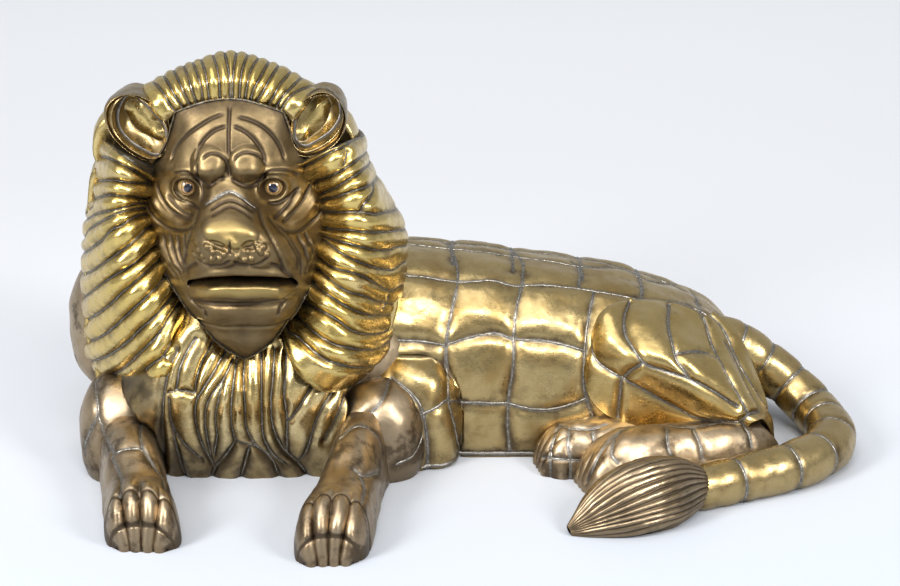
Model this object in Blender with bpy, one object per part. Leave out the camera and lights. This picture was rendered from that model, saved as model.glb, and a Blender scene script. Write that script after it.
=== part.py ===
"""Recumbent lion, a hollow figure of soldered sheet brass panels with two glass eyes.

The whole pose is drawn in parts of the height: one part is HEIGHT / 89.  X runs along the
body, the face looks towards -Y and Z is up.  Each form (face, mane, torso, limbs, tail) is a
closed body made from a few guide curves, and all of them are joined into one solid that is
cut flat underneath.
"""
import math

import bmesh
import bpy
import numpy as np

HEIGHT = 0.89           # floor to the top of the crown
EYE_RADIUS = 0.0195     # glass ball
EYE_GAP = 0.0003        # clearance of the ball in its socket
PANEL_PUFF = 0.010      # how far a body panel swells above its seams
THIGH_PUFF = 0.011      # how far a thigh panel swells above its seams
LOCK_PUFF = 0.34        # swell of a mane lock as a share of its width
LOCK_DEEPEST = 5.0      # locks wider than this swell no further, in parts
NAPE_PUFF = 1.7         # swell of the locks behind the head, in parts
NAPE_DEPTH = 37.0       # how far the mane runs back over the shoulders, in parts

PART = HEIGHT / 89.0    # one part of the height
TRIANGLES = 9100        # fineness of the joined body before the underside is cut
UNDER = -2.5            # limbs run this many parts below the floor before the flat cut
FACE_X = 1.2            # the middle of the face
FACE_LOW = 28.6         # lower end of the face under the chin
FACE_HIGH = 81.4        # upper end of the face at the forehead
FACE_Z = FACE_HIGH - FACE_LOW
FACE_SWAY = 3.0         # how far the mouth lies to one side of the brow, in parts
EDGE_SWAY = 0.4         # share of it at the edge of the face
SWAY_TOP = 63.5         # height from which the face sways, full over the next
SWAY_RUN = 11.5         # parts downwards
SWAY_DEEP = (9.0, 12.0)  # depth of the edge, and how much deeper the full sway lies
LIP_TOP = 49.7          # upper lip edge under the nose


for old in list(bpy.data.objects):
    bpy.data.objects.remove(old, do_unlink=True)


# Curves

def smooth(knots, values, at):
    """Cubic curve through values at knots, read at the given places (first axis)."""
    k = np.asarray(knots, float)
    v = np.asarray(values, float)
    a = np.asarray(at, float)
    tail = (1,) * (v.ndim - 1)
    step = np.diff(k).reshape((-1,) + tail)
    slope = np.diff(v, axis=0) / step
    tangent = np.empty_like(v)
    tangent[0] = slope[0]
    tangent[-1] = slope[-1]
    if len(k) > 2:
        mix = step[:-1] + step[1:]
        tangent[1:-1] = (slope[:-1] * step[1:] + slope[1:] * step[:-1]) / mix
    cell = np.clip(np.searchsorted(k, a, side="right") - 1, 0, len(k) - 2)
    h = (k[cell + 1] - k[cell]).reshape(a.shape + tail)
    q = (np.clip((a - k[cell]) / (k[cell + 1] - k[cell]), 0.0, 1.0)).reshape(a.shape + tail)
    low, high = v[cell], v[cell + 1]
    return (low * (2 * q**3 - 3 * q**2 + 1) + tangent[cell] * h * (q**3 - 2 * q**2 + q)
            + high * (3 * q**2 - 2 * q**3) + tangent[cell + 1] * h * (q**3 - q**2))


def pillow(w):
    """Cross profile of a puffed panel: 0 at both seams, 1 in the middle."""
    return np.sqrt(np.clip(1.0 - np.abs(2.0 * w - 1.0) ** 2.6, 0.0, 1.0))


def bump(distance, reach):
    """Soft rounded rise: 1 at distance 0 and almost nothing past the reach."""
    return np.exp(-(distance / reach) ** 2)


def normals(grid):
    """Unit normals of a grid of points."""
    a = np.gradient(grid, axis=0)
    b = np.gradient(grid, axis=1)
    n = np.cross(a, b)
    size = np.linalg.norm(n, axis=2, keepdims=True)
    return n / np.maximum(size, 1e-9)


def outward(grid, centre):
    """Normals turned away from a point inside."""
    n = normals(grid)
    side = np.sum(n * (grid - np.asarray(centre)), axis=2).mean()
    return n if side > 0 else -n


# Closed bodies

bodies = []


def add_body(name, points, faces):
    """Turn points (in parts of the height) and faces into a closed mesh object."""
    mesh = bpy.data.meshes.new(name)
    mesh.from_pydata([tuple(p * PART) for p in points], [], faces)
    mesh.validate()
    obj = bpy.data.objects.new(name, mesh)
    bpy.context.scene.collection.objects.link(obj)
    volume = 0.0
    mesh.calc_loop_triangles()
    for tri in mesh.loop_triangles:
        a, b, c = (mesh.vertices[i].co for i in tri.vertices)
        volume += a.dot(b.cross(c))
    if volume < 0:
        mesh.flip_normals()
    bodies.append(obj)
    return obj


def grid_faces(rows, columns):
    """Triangles of an open grid, the diagonal alternating."""
    faces = []
    for i in range(rows - 1):
        for j in range(columns - 1):
            a = i * columns + j
            b, c, d = a + 1, a + columns + 1, a + columns
            faces += [(a, b, c), (a, c, d)] if (i + j) % 2 else [(a, b, d), (b, c, d)]
    return faces


def sheet_body(name, grid, apex):
    """Close a curved sheet by running its border to one point inside."""
    rows, columns = grid.shape[:2]
    points = list(grid.reshape(-1, 3)) + [np.asarray(apex, float)]
    border = list(range(columns - 1))
    border += [i * columns + columns - 1 for i in range(rows - 1)]
    border += [(rows - 1) * columns + j for j in range(columns - 1, 0, -1)]
    border += [i * columns for i in range(rows - 1, 0, -1)]
    tip = len(points) - 1
    faces = grid_faces(rows, columns)
    faces += [(b, a, tip) for a, b in zip(border, border[1:] + border[:1])]
    return add_body(name, points, faces)


def ring_body(name, rings):
    """Closed body through rings of points, each end closed by a middle point."""
    count, around = rings.shape[:2]
    points = list(rings.reshape(-1, 3))
    faces = []
    for i in range(count - 1):
        for j in range(around):
            k = (j + 1) % around
            a, b = i * around + j, i * around + k
            c, d = a + around, b + around
            faces += [(a, b, d), (a, d, c)] if (i + j) % 2 else [(a, b, c), (b, d, c)]
    for row, turn in ((0, 1), (count - 1, -1)):
        tip = len(points)
        points.append(rings[row].mean(axis=0))
        for j in range(around):
            a, b = row * around + j, row * around + (j + 1) % around
            faces.append((b, a, tip) if turn > 0 else (a, b, tip))
    return add_body(name, points, faces)


def ball_points(centre, radii, around, rings, power=2.0):
    """Rings of a ball with three radii; a power above 2 squares it."""
    lat = np.linspace(-math.pi / 2, math.pi / 2, rings + 2)[1:-1]
    lon = np.arange(around) * 2 * math.pi / around
    e = 2.0 / power
    c, s = np.cos(lat)[:, None], np.sin(lat)[:, None]
    x = np.sign(np.cos(lon)) * np.abs(np.cos(lon)) ** e * np.abs(c) ** e
    y = np.sign(np.sin(lon)) * np.abs(np.sin(lon)) ** e * np.abs(c) ** e
    z = np.sign(s) * np.abs(s) ** e * np.ones_like(lon)
    ball = np.stack([x, y, z], axis=2) * np.asarray(radii, float)
    return ball + np.asarray(centre, float)


def ball_body(name, centre, radii, around=14, rings=8, power=2.0):
    """Plain closed ball, used for the masses under the panels."""
    return ring_body(name, ball_points(centre, radii, around, rings, power))


# Face

FACE_V = [0.0, 0.14, 0.28, 0.43, 0.60, 0.72, 0.815, 1.0]
FACE_HALF = [7.6, 11.9, 15.0, 18.0, 19.2, 16.4, 13.6, 10.5]
FACE_EDGE = [10.5, 9.0, 8.0, 7.0, 6.0, 6.0, 6.5, 7.5]
SKULL_Z = [28.6, 33.0, 40.0, 48.0, 55.0, 62.0, 66.0, 70.0, 75.0, 79.0, 81.4]
SKULL_D = [12.0, 13.5, 13.5, 13.0, 13.0, 13.2, 14.2, 14.4, 12.9, 10.2, 7.5]
MUZZLE_Z = [28.6, 33.0, 37.0, 38.0, 41.0, 43.6, 47.2, 50.0, 54.0, 58.0, 60.0, 62.0, 64.0, 66.5,
            70.0, 75.0, 79.0, 81.4]
MUZZLE_D = [12.0, 15.5, 17.3, 18.6, 20.5, 21.0, 22.0, 22.6, 24.0, 24.3, 23.8, 21.6, 18.2, 15.6,
            14.4, 12.9, 10.2, 7.5]
MUZZLE_B = [4.0, 7.0, 9.0, 10.0, 12.0, 13.4, 13.6, 12.4, 10.6, 8.8, 7.4, 6.2, 5.0, 4.0, 3.4, 3.4,
            3.4, 3.4]
EYE_X = 8.5
EYE_Z = 64.6
EYE_DEPTH = 10.6


def mouth_line(x):
    """Height of the upper lip edge across the face."""
    return smooth([0.0, 4.0, 7.0, 9.5, 11.6, 13.5, 20.0], [LIP_TOP, 49.6, 49.0, 47.9, 46.3, 45.4, 45.0],
                  np.abs(x))


def face_depth(x, z):
    """How far the face stands forward at a place across (x, from its middle) and up (z)."""
    v = (z - FACE_LOW) / FACE_Z
    half = smooth(FACE_V, FACE_HALF, np.clip(v, 0, 1))
    edge = smooth(FACE_V, FACE_EDGE, np.clip(v, 0, 1))
    q = np.clip(np.abs(x) / half, 0, 1)
    skull = smooth(SKULL_Z, SKULL_D, z)
    depth = edge + (skull - edge) * (1 - q**2.6)
    front = smooth(MUZZLE_Z, MUZZLE_D, z)
    wide = smooth(MUZZLE_Z, MUZZLE_B, z)
    steep = 5.0 + 3.0 * bump(z - 60, 6)
    depth = depth + (front - skull) * (1 - q**6) / (1 + (np.abs(x) / wide) ** steep)
    side = np.abs(x)
    # brow: two round bosses, the ridges over the eyes, the hollow between brow and nose
    boss = np.hypot(side - 3.5, z - 70.6)
    depth = depth + 2.6 * np.clip(1 - (boss / 3.6) ** 2, 0, 1) ** 0.6
    depth = depth - 0.5 * bump(side, 1.0) * bump(z - 76.0, 3.0)
    depth = depth + 1.5 * bump(z - 68.3 + 0.12 * (side - 9), 1.3) * bump(side - 9.5, 4.2)
    depth = depth - 2.2 * bump(side - 7.4, 2.8) * bump(z - 64.4, 2.7)
    lid = np.hypot((side - EYE_X) / 1.25, z - EYE_Z)
    depth = depth + 0.9 * bump(lid - 2.3, 0.7)
    # cheek under the eye and the long folds beside the muzzle
    depth = depth + 1.6 * bump(side - 11.5, 4.0) * bump(z - 57.5, 4.2)
    fold = np.abs(((side - 0.10 * (66 - z)) / 1.15) % 1.0 - 0.5)
    depth = depth - 0.35 * fold * bump(side - 12.5, 2.6) * bump(z - 50.5, 6.0)
    # nose pad, nostrils and the split below it
    pad = np.hypot(side / 5.9, (z - 58.9) / 3.9)
    depth = depth + 1.1 * np.clip(1 - pad**3, 0, 1)
    depth = depth - 1.2 * bump(np.hypot(side - 3.3, z - 57.2), 1.0)
    depth = depth - 0.7 * bump(side, 0.7) * bump(z - 54.5, 2.6)
    # whisker pads
    puff = np.hypot((side - 4.6) / 4.7, (z - 54.4) / 3.2)
    depth = depth + 0.8 * np.clip(1 - puff**2, 0, 1)
    # mouth: lip edge, dark slit, rolled lower lip, fold and chin
    lip = mouth_line(x)
    inside = 1 - np.clip((side - 9.6) / 1.4, 0, 1)
    below = lip - z
    depth = depth + 0.8 * bump(below + 1.0, 1.0) * inside
    depth = depth - 3.6 * bump(below - 0.65, 0.62) * np.clip(inside * 1.5, 0, 1)
    roll = np.clip(1 - ((below - 3.1 * (1 - 0.45 * q)) / 2.1) ** 2, 0, 1)
    depth = depth + 1.5 * np.sqrt(roll) * np.clip((10.4 - side) / 3.0, 0, 1)
    depth = depth - 0.6 * bump(z - 43.4 + 0.06 * side, 0.8) * inside
    depth = depth - 0.9 * bump(z - 37.6 + 0.05 * side, 0.7) * np.clip((10.5 - side) / 2.0, 0, 1)
    return depth


def face_sway(depth, z):
    """How far a place of the face lies to the side, more the further it stands forward."""
    down = np.clip((SWAY_TOP - z) / SWAY_RUN, 0, 1)
    forward = np.clip((depth - SWAY_DEEP[0]) / SWAY_DEEP[1], 0, 1)
    return FACE_SWAY * down**2 * (3 - 2 * down) * (EDGE_SWAY + (1 - EDGE_SWAY) * forward)


def face_grid(us, vs):
    """Points of the face over shares across (u, -1 to 1) and up (v, 0 to 1)."""
    u, v = np.meshgrid(us, vs)
    half = smooth(FACE_V, FACE_HALF, v)
    x = u * half
    low = FACE_LOW + 6.6 * np.abs(u) ** 1.2
    high = FACE_HIGH - 2.6 * u * u
    z = low + (high - low) * v
    z = z + (mouth_line(x) - LIP_TOP) * bump(z - 47.0, 6.5) * np.clip(1.35 - np.abs(u), 0, 1)
    depth = face_depth(x, z)
    return np.stack([x + FACE_X + face_sway(depth, z), -depth, z], axis=2)


def make_face():
    """Face panel with its edge turned back into the head."""
    right = np.array([0.045, 0.10, 0.17, 0.245, 0.32, 0.40, 0.48, 0.56, 0.65, 0.75, 0.87, 1.0])
    us = np.concatenate([-right[::-1], [0.0], right])
    vs = np.concatenate([np.linspace(0, 0.15, 3, endpoint=False), np.linspace(0.15, 0.285, 5, endpoint=False),
                         np.linspace(0.285, 0.445, 10, endpoint=False),
                         np.linspace(0.445, 0.86, 17, endpoint=False), np.linspace(0.86, 1.0, 4)])
    sheet_body("face", face_grid(us, vs), (FACE_X, 8.0, 55.0))


# Mane

CHEEK_LEFT = [
    [(15.2, -7, 69.5), (20.1, -13, 72.6), (23.9, -10, 73.4), (26.7, 3, 71.2)],
    [(20.4, -7, 61.4), (23.9, -13, 64.3), (27.9, -10, 64.4), (29.6, 3, 61.7)],
    [(20.7, -7, 58.0), (25.2, -13, 59.9), (29.6, -10, 59.0), (33.4, 3, 54.8)],
    [(19.2, -7, 51.7), (23.7, -13, 51.2), (28.5, -10, 47.8), (34.8, 3, 42.4)],
    [(16.8, -7, 44.4), (21.1, -13, 41.9), (26.3, -10, 37.8), (32.4, 3, 32.0)],
    [(12.6, -8, 33.6), (17.8, -15, 30.9), (23.7, -12.5, 26.9), (28.7, 0, 22.2)],
    [(10.8, -9, 32.6), (12.9, -15, 27.9), (18.3, -13, 21.9), (23.5, -1, 18.2)]]
CHEEK_LEFT_LOCKS = [3, 1, 3, 3, 3, 1]
CHEEK_RIGHT = [
    [(-15.5, -7, 66.6), (-17.4, -13, 70.6), (-20.9, -10, 72.0), (-25.6, 3, 70.8)],
    [(-16.6, -7, 64.5), (-18.6, -13, 66.3), (-22.2, -10, 65.4), (-27.3, 3, 61.2)],
    [(-18.2, -7, 59.7), (-20.1, -13, 61.0), (-23.8, -10, 58.8), (-29.9, 3, 52.7)],
    [(-16.9, -7, 54.2), (-19.3, -13, 53.5), (-23.9, -10, 49.7), (-30.9, 3, 42.7)],
    [(-14.8, -7, 47.9), (-18.3, -13, 45.5), (-23.3, -10, 40.2), (-31.2, 3, 31.1)],
    [(-12.2, -7, 40.1), (-14.9, -13, 38.7), (-20.5, -10, 32.4), (-30.9, 3, 22.4)],
    [(-10.4, -7, 34.0), (-13.7, -13, 29.4), (-17.6, -10, 24.7), (-25.6, 3, 16.0)],
    [(-9.6, -7, 33.6), (-12.1, -13, 25.7), (-14.9, -10, 21.8), (-23.9, 3, 14.6)]]
CHEEK_RIGHT_LOCKS = [2, 2, 2, 3, 2, 2, 1]
BIB = [
    [(-21.9, -7, 19.6), (-19.8, -12, 17.6), (-17.7, -12, 13.7), (-16.2, -9, 9.4), (-14.1, -5.6, 2.5)],
    [(-9.1, -9, 33.9), (-11.8, -13, 27.5), (-13.3, -14, 19.1), (-13.9, -11, 10.4), (-12.5, -6.4, 1.6)],
    [(-3.4, -9, 30.2), (-6.2, -13, 25.3), (-6.7, -14, 19.1), (-5.9, -11, 10.4), (-4.8, -6.4, 0.4)],
    [(1.6, -9, 27.4), (1.0, -13, 23.1), (0.5, -14, 18.0), (-0.1, -11, 10.4), (-0.6, -6.4, -0.3)],
    [(6.2, -9, 29.8), (6.3, -13, 24.2), (6.2, -14, 18.0), (7.1, -11, 10.4), (9.0, -6.4, 0.6)],
    [(10.9, -7, 31.0), (12.3, -11, 25.8), (14.9, -12, 20.3), (16.2, -10.6, 12.8), (15.4, -6.2, 2.2)],
    [(21.5, -2, 25.0), (22.0, -5, 20.4), (22.4, -7.5, 16.0), (21.4, -8, 10.5), (19.8, -7, 3.4)]]
BIB_LOCKS = [1, 2, 2, 2, 2, 2]
CROWN = [
    [(-12.4, -7.5, 77.0), (-14.8, -6.0, 79.6), (-17.0, 0.5, 81.0), (-19.4, 8, 77.4)],
    [(-9.5, -7.5, 79.2), (-11.4, -6.2, 82.0), (-12.8, 0.5, 83.6), (-14.6, 8, 80.4)],
    [(-4.5, -7.5, 80.8), (-5.9, -6.4, 84.4), (-6.9, 0.5, 86.4), (-8.0, 8, 83.4)],
    [(1.4, -7.5, 81.8), (1.3, -6.4, 85.8), (1.1, 0.5, 88.5), (0.8, 8, 85.6)],
    [(6.5, -7.5, 80.8), (7.5, -6.4, 84.4), (8.2, 0.5, 86.6), (8.6, 8, 83.8)],
    [(11.7, -7.5, 79.4), (12.8, -6.2, 82.0), (13.8, 0.5, 83.8), (14.8, 8, 80.8)],
    [(14.0, -7.5, 77.0), (16.2, -6.0, 79.4), (18.0, 0.5, 80.6), (20.4, 8, 77.6)]]
CROWN_LOCKS = [2, 3, 3, 3, 3, 2]
LOCK_COLUMNS = [0.0, 0.27, 0.73]


def lock_sheet(guides, locks, columns, rows, centre, puff=1.0, root=None, back=None):
    """Sheet of mane locks lying between guide curves, each lock puffed between its seams."""
    lines = np.array(guides, float)
    if root is not None:
        lines[:, :1] += root(lines[:, :1])
    if back is not None:
        lines = np.concatenate([lines, lines[:, -1:] + back(lines[:, -1:])], axis=1)
    knots = np.concatenate([[0], np.cumsum(locks)]).astype(float)
    total = int(knots[-1])
    s = np.array([k + w for k in range(total) for w in columns] + [total], float)
    t = np.asarray(rows, float) * (lines.shape[1] - 1)
    along = smooth(np.arange(lines.shape[1]), lines.transpose(1, 0, 2), t)
    grid = smooth(knots, along.transpose(1, 0, 2), s)
    step = smooth(knots, along.transpose(1, 0, 2), np.clip(s + 0.25, 0, total))
    before = smooth(knots, along.transpose(1, 0, 2), np.clip(s - 0.25, 0, total))
    wide = np.linalg.norm(step - before, axis=2) * 2.0
    across = pillow(s - np.floor(s + 1e-9))[:, None]
    share = np.asarray(rows, float)[None, :]
    ends = np.sqrt(np.clip((share - 0.01) / 0.13, 0, 1)) * np.sqrt(np.clip((1 - share) / 0.12, 0, 1))
    lift = LOCK_PUFF * puff * np.minimum(wide, LOCK_DEEPEST) * across * ends
    return grid + outward(grid, centre) * lift[:, :, None]


def towards(centre, amount, shift):
    """Offset of points towards a centre across x and z, with a shift along y."""
    def offset(points):
        aim = np.asarray(centre) - points
        aim[..., 1] = 0.0
        aim /= np.maximum(np.linalg.norm(aim, axis=-1, keepdims=True), 1e-6)
        return aim * amount + np.array([0.0, shift, 0.0])
    return offset


def nape_outline(share):
    """Silhouette of the mane, from its left foot over the crown to its right foot."""
    keys = [(22, 13), (28.5, 23), (32.8, 35), (33.5, 46), (31.3, 56), (26.4, 65.5), (23.2, 75), (17.0, 80.2),
            (9.0, 84.2), (0.6, 86.2), (-8.4, 83.8), (-16.5, 80.6), (-25.2, 75.4), (-27.6, 65.5), (-28.9, 53),
            (-30.0, 42), (-30.6, 30), (-29.4, 20), (-24, 11)]
    return smooth(np.linspace(0, 1, len(keys)), np.array(keys, float), share)


def nape_sheet(columns, rows, tiers, locks):
    """Back of the mane: locks that run from the silhouette back to the shoulders."""
    s = np.array([k + w for k in range(locks) for w in columns] + [locks], float)
    edge = nape_outline(s / locks)
    turn = np.asarray(rows, float)[None, :] * math.radians(88)
    middle = np.array([0.5, 25.0])
    ease = np.cos(turn) ** 0.85
    flat = middle + (edge[:, None, :] - middle) * ease[:, :, None]
    flat = flat + (edge[:, None, :] - middle) * -0.035 * bump(turn / math.radians(88), 0.10)[:, :, None]
    deep = 0.5 + NAPE_DEPTH * np.sin(turn) ** 1.15 + np.zeros((len(s), 1))
    grid = np.stack([flat[:, :, 0], deep, flat[:, :, 1]], axis=2)
    share = np.asarray(rows, float)[None, :] * tiers
    tier = share - np.floor(share)
    across = pillow(s - np.floor(s + 1e-9))[:, None]
    drop = 1.0 - 0.75 * np.clip((tier - 0.82) / 0.18, 0, 1) * np.clip((tiers - share) * 9, 0, 1)
    lift = NAPE_PUFF * across * np.minimum(1, 1.2 * ease) * drop
    return grid + outward(grid, (0, 5, 45)) * lift[:, :, None]


def make_mane():
    """All the sheets of the mane."""
    head = (1.2, 8.0, 52.0)
    rows = [0.0, 0.07, 0.18, 0.34, 0.52, 0.70, 0.86, 1.0]
    root = towards((1.2, 0, 52.0), 1.3, 1.6)
    back = towards((1.2, 0, 48.0), 2.2, 11.0)
    for name, guides, locks in (("cheek_left", CHEEK_LEFT, CHEEK_LEFT_LOCKS),
                                ("cheek_right", CHEEK_RIGHT, CHEEK_RIGHT_LOCKS)):
        grid = lock_sheet(guides, locks, LOCK_COLUMNS, rows, head, 1.0, root, back)
        sheet_body(name, grid, (1.2, 25.0, 50.0))
    root = towards((1.2, 0, 60.0), 1.6, 1.6)
    back = towards((0.0, 0, 55.0), 2.4, 9.0)
    rows = [0.0, 0.10, 0.26, 0.48, 0.74, 1.0]
    grid = lock_sheet(CROWN, CROWN_LOCKS, LOCK_COLUMNS, rows, (1, 6, 62), 1.0, root, back)
    sheet_body("crown", grid, (0.5, 12.0, 62.0))
    rows = [0.0, 0.17, 0.36, 0.56, 0.78, 1.0]
    drop = [tuple(np.array(line[-1]) + (0, 1.5, -4.5)) for line in BIB]
    bib = [[tuple(np.array(line[0]) + (0, 5.0, 3.0))] + line + [end] for line, end in zip(BIB, drop)]
    grid = lock_sheet(bib, BIB_LOCKS, LOCK_COLUMNS, rows, (2, 10, 18), 0.9)
    sheet_body("bib", grid, (2.0, 12.0, 16.0))
    rows = [0.0, 0.12, 0.26, 0.41, 0.50, 0.64, 0.80, 0.91, 1.0]
    grid = nape_sheet(LOCK_COLUMNS, rows, 2, 14)
    sheet_body("nape", grid, (0.5, 6.0, 40.0))


# Ears

EAR_RIGHT = [(-12.2, 70.6), (-10.6, 73.9), (-11.0, 77.6), (-13.2, 80.2), (-16.5, 81.8), (-19.6, 82.0),
             (-22.4, 80.7), (-23.6, 78.4), (-23.2, 75.5), (-21.4, 72.6), (-18.4, 70.0), (-15.2, 68.8)]
EAR_LEFT = [(13.5, 70.6), (12.1, 73.7), (12.7, 76.9), (14.7, 79.6), (17.5, 81.4), (20.5, 81.8),
            (23.0, 80.4), (24.1, 77.4), (23.5, 74.3), (21.9, 71.9), (18.9, 70.0), (15.9, 69.5)]
EAR_PROFILE = [  # share of the outline, forward of the ear's own plane
    (0.16, -0.2), (0.36, -1.6), (0.56, -2.6), (0.72, -1.0), (0.82, 1.4), (0.93, 2.0), (1.04, 0.6),
    (1.05, -3.0), (0.86, -8.0)]


def ear_rings(outline, around, profile, heart):
    """Rings of a cupped ear, from the swelling inside it out over the rim to the back."""
    loop = np.array(outline, float)
    loop = np.concatenate([loop[-1:], loop, loop[:2]])
    place = np.arange(around) * len(outline) / around
    edge = smooth(np.arange(-1, len(outline) + 2), loop, place)
    middle = np.asarray(heart, float)
    share = np.array(profile, float)
    flat = middle + (edge[None, :, :] - middle) * share[:, 0, None, None]
    lean = 0.10 * (flat[:, :, 1] - 70.0)
    deep = -6.2 - share[:, 1, None] + lean
    return np.stack([flat[:, :, 0], deep, flat[:, :, 1]], axis=2)


def make_ears():
    """Both ears."""
    for name, outline, heart in (("ear_right", EAR_RIGHT, (-16.6, 75.3)),
                                 ("ear_left", EAR_LEFT, (18.1, 75.3))):
        ring_body(name, ear_rings(outline, 16, EAR_PROFILE, heart))


# Torso

TORSO_X = [-6, 8, 22, 33, 45, 58, 73, 86, 97, 104.5, 109.5, 113]
TORSO_Y = [15, 19, 23, 24.5, 25, 25, 25, 24.5, 24, 23.5, 23, 23]
TORSO_HALF = [15, 21, 22.8, 23, 23, 23, 23, 23.2, 22, 18, 12, 5]
TORSO_TOP = [30, 37.0, 39.8, 39.9, 39.0, 37.4, 35.2, 32.2, 27.8, 22.4, 17.2, 11]
TORSO_ACROSS = [-0.93, -0.97, -1.0, -0.885, -0.55, 0.0, 0.55, 0.885, 1.0, 0.97, 0.93]
TORSO_RISE = [-0.08, 0.03, 0.33, 0.70, 0.93, 1.0, 0.93, 0.70, 0.33, 0.03, -0.08]


def torso_rings(us, vs):
    """Rings of the body over panel numbers along (u) and around (v)."""
    u = np.asarray(us, float)
    middle = smooth(np.arange(12), TORSO_Y, u)
    half = smooth(np.arange(12), TORSO_HALF, u)
    top = smooth(np.arange(12), TORSO_TOP, u)
    x = smooth(np.arange(12), TORSO_X, u)
    v = np.asarray(vs, float)
    across = smooth(np.arange(11), TORSO_ACROSS, v)
    rise = smooth(np.arange(11), TORSO_RISE, v)
    grid = np.stack([x[:, None] + np.zeros((1, len(v))), middle[:, None] + half[:, None] * across,
                     top[:, None] * rise], axis=2)
    wu, wv = u - np.floor(u + 1e-9), v - np.floor(v + 1e-9)
    calm = np.clip((v - 0.9) * 4, 0, 1) * np.clip((9.1 - v) * 4, 0, 1)
    lift = PANEL_PUFF / PART * pillow(wu)[:, None] * pillow(wv) * calm
    return grid + outward(grid, (60, 27, 15)) * lift[:, :, None]


def make_torso():
    """Body barrel with its rows of panels."""
    us = [0, 1, 2, 3, 3.2, 3.8, 4, 4.2, 4.8, 5, 5.2, 5.8, 6, 6.2, 6.8, 7, 7.25, 7.75, 8, 8.5, 9, 10, 11]
    vs = [0, 1, 1.2, 1.8, 2, 2.2, 2.8, 3, 3.25, 3.75, 4, 4.3, 4.7, 5, 5.5, 6, 6.5, 7, 7.5, 8, 9, 10]
    ring_body("torso", torso_rings(us, vs))


# Haunches and hind feet

HAUNCH = [
    [(76.1, 6, 25.1), (73.6, 3, 19.8), (75.5, 1, 12.7), (84.4, -2, 9.0),
     (97.1, -2, 7.0), (107.2, -2, 4.0)],
    [(82.4, 11, 32.0), (76.2, 4, 30.7), (76.4, 0, 22.9), (84.2, -3, 17.2),
     (96.4, -4.5, 11.6), (106.2, -3.6, 7.0)],
    [(84.4, 12, 32.4), (80.9, 3, 30.7), (82.5, -4, 26.7), (89.0, -6, 23.0),
     (97.0, -6.6, 18.4), (106.6, -4.8, 10.6)],
    [(91.3, 12, 31.4), (89.9, 4, 30.2), (91.2, -3.5, 26.9), (95.2, -6.2, 22.9),
     (101.2, -5.8, 18.0), (108.8, -4.0, 11.2)],
    [(98.1, 11, 28.9), (99.4, 5, 24.7), (101.4, 0, 21.8), (104.6, -2, 17.4),
     (107.6, -2.6, 13.6), (110.8, -1.4, 8.8)],
    [(100.7, 15, 28.0), (105.1, 13, 24.3), (108.1, 10, 19.3), (110.2, 7, 14.0),
     (112.1, 4, 9.5), (112.8, 1.5, 4.4)]]
THIGH_CORE = (95.0, 23.0, 7.0)
HAUNCH_MASSES = [  # name, centre, radii, fineness around and up, squareness
    ("haunch_far", (91.0, 36.5, 5.0), (19.0, 13.0, 21.0), 18, 9, 2.2),
    ("haunch_under", (93.0, 18.0, 2.0), (18.5, 17.0, 17.0), 14, 7, 2.0)]


def haunch_sheet(guides, s, t, puff, centre):
    """Thigh surface through its guide curves, puffed between the seams."""
    lines = np.array(guides, float)
    along = smooth(np.arange(lines.shape[1]), lines.transpose(1, 0, 2), np.asarray(t, float))
    grid = smooth(np.arange(lines.shape[0]), along.transpose(1, 0, 2), np.asarray(s, float))
    w = np.asarray(s, float) - np.floor(np.asarray(s, float) + 1e-9)
    step = smooth(np.arange(lines.shape[0]), along.transpose(1, 0, 2), np.floor(np.asarray(s, float)))
    after = smooth(np.arange(lines.shape[0]), along.transpose(1, 0, 2),
                   np.minimum(np.floor(np.asarray(s, float)) + 1, lines.shape[0] - 1))
    wide = np.linalg.norm(after - step, axis=2)
    calm = np.sqrt(np.clip(np.sin(np.asarray(t, float) / (lines.shape[1] - 1) * math.pi), 0, 1))
    lift = np.minimum(puff, 0.11 * wide) * pillow(w)[:, None] * calm[None, :]
    return grid + outward(grid, centre) * lift[:, :, None]


def make_haunches():
    """Near thigh with its seams and the plainer far one."""
    s = [k + w for k in range(5) for w in (0, 0.25, 0.75)] + [5]
    t = [0, 0.5, 1, 1.5, 2, 2.5, 3, 3.6, 4.3, 5]
    near = haunch_sheet(HAUNCH, s, t, THIGH_PUFF / PART, THIGH_CORE)
    sheet_body("haunch_near", near, THIGH_CORE)
    for name, centre, radii, around, rings, power in HAUNCH_MASSES:
        ball_body(name, centre, radii, around, rings, power)


def limb_rings(stations, around, toes=0.0, toe_from=0.7, power=2.6):
    """Arched rings along a limb on the floor.

    Each station is (x, y, half width, height, heading in degrees, share of toe relief).
    """
    keys = np.array(stations, float)
    place = np.linspace(0, len(keys) - 1, len(keys))
    a = np.asarray(around, float)
    turn = a * math.pi / 2
    e = 2.0 / power
    side = np.sign(a) * np.abs(np.sin(turn)) ** e
    rise = np.abs(np.cos(turn)) ** e
    rings = []
    for x, y, half, high, heading, share in keys:
        across = np.array([math.cos(math.radians(heading)), math.sin(math.radians(heading))])
        wide = half * side
        swell = toes * share * (np.abs(np.sin(np.clip(side, -1, 1) * 2 * math.pi)) ** 0.7 - 0.5)
        up = high * rise + 0.4 * (1.0 - rise) + swell * rise * min(1.0, high / 8.0)
        reach = swell * (1.0 - min(1.0, high / 12.5)) * 1.6
        ring = np.stack([x + across[0] * wide + across[1] * reach,
                         y + across[1] * wide - across[0] * reach, up], axis=1)
        under = ring[[-1, 0]].copy()
        under[:, 2] = UNDER
        rings.append(np.concatenate([ring, under]))
    return np.array(rings)


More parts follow.
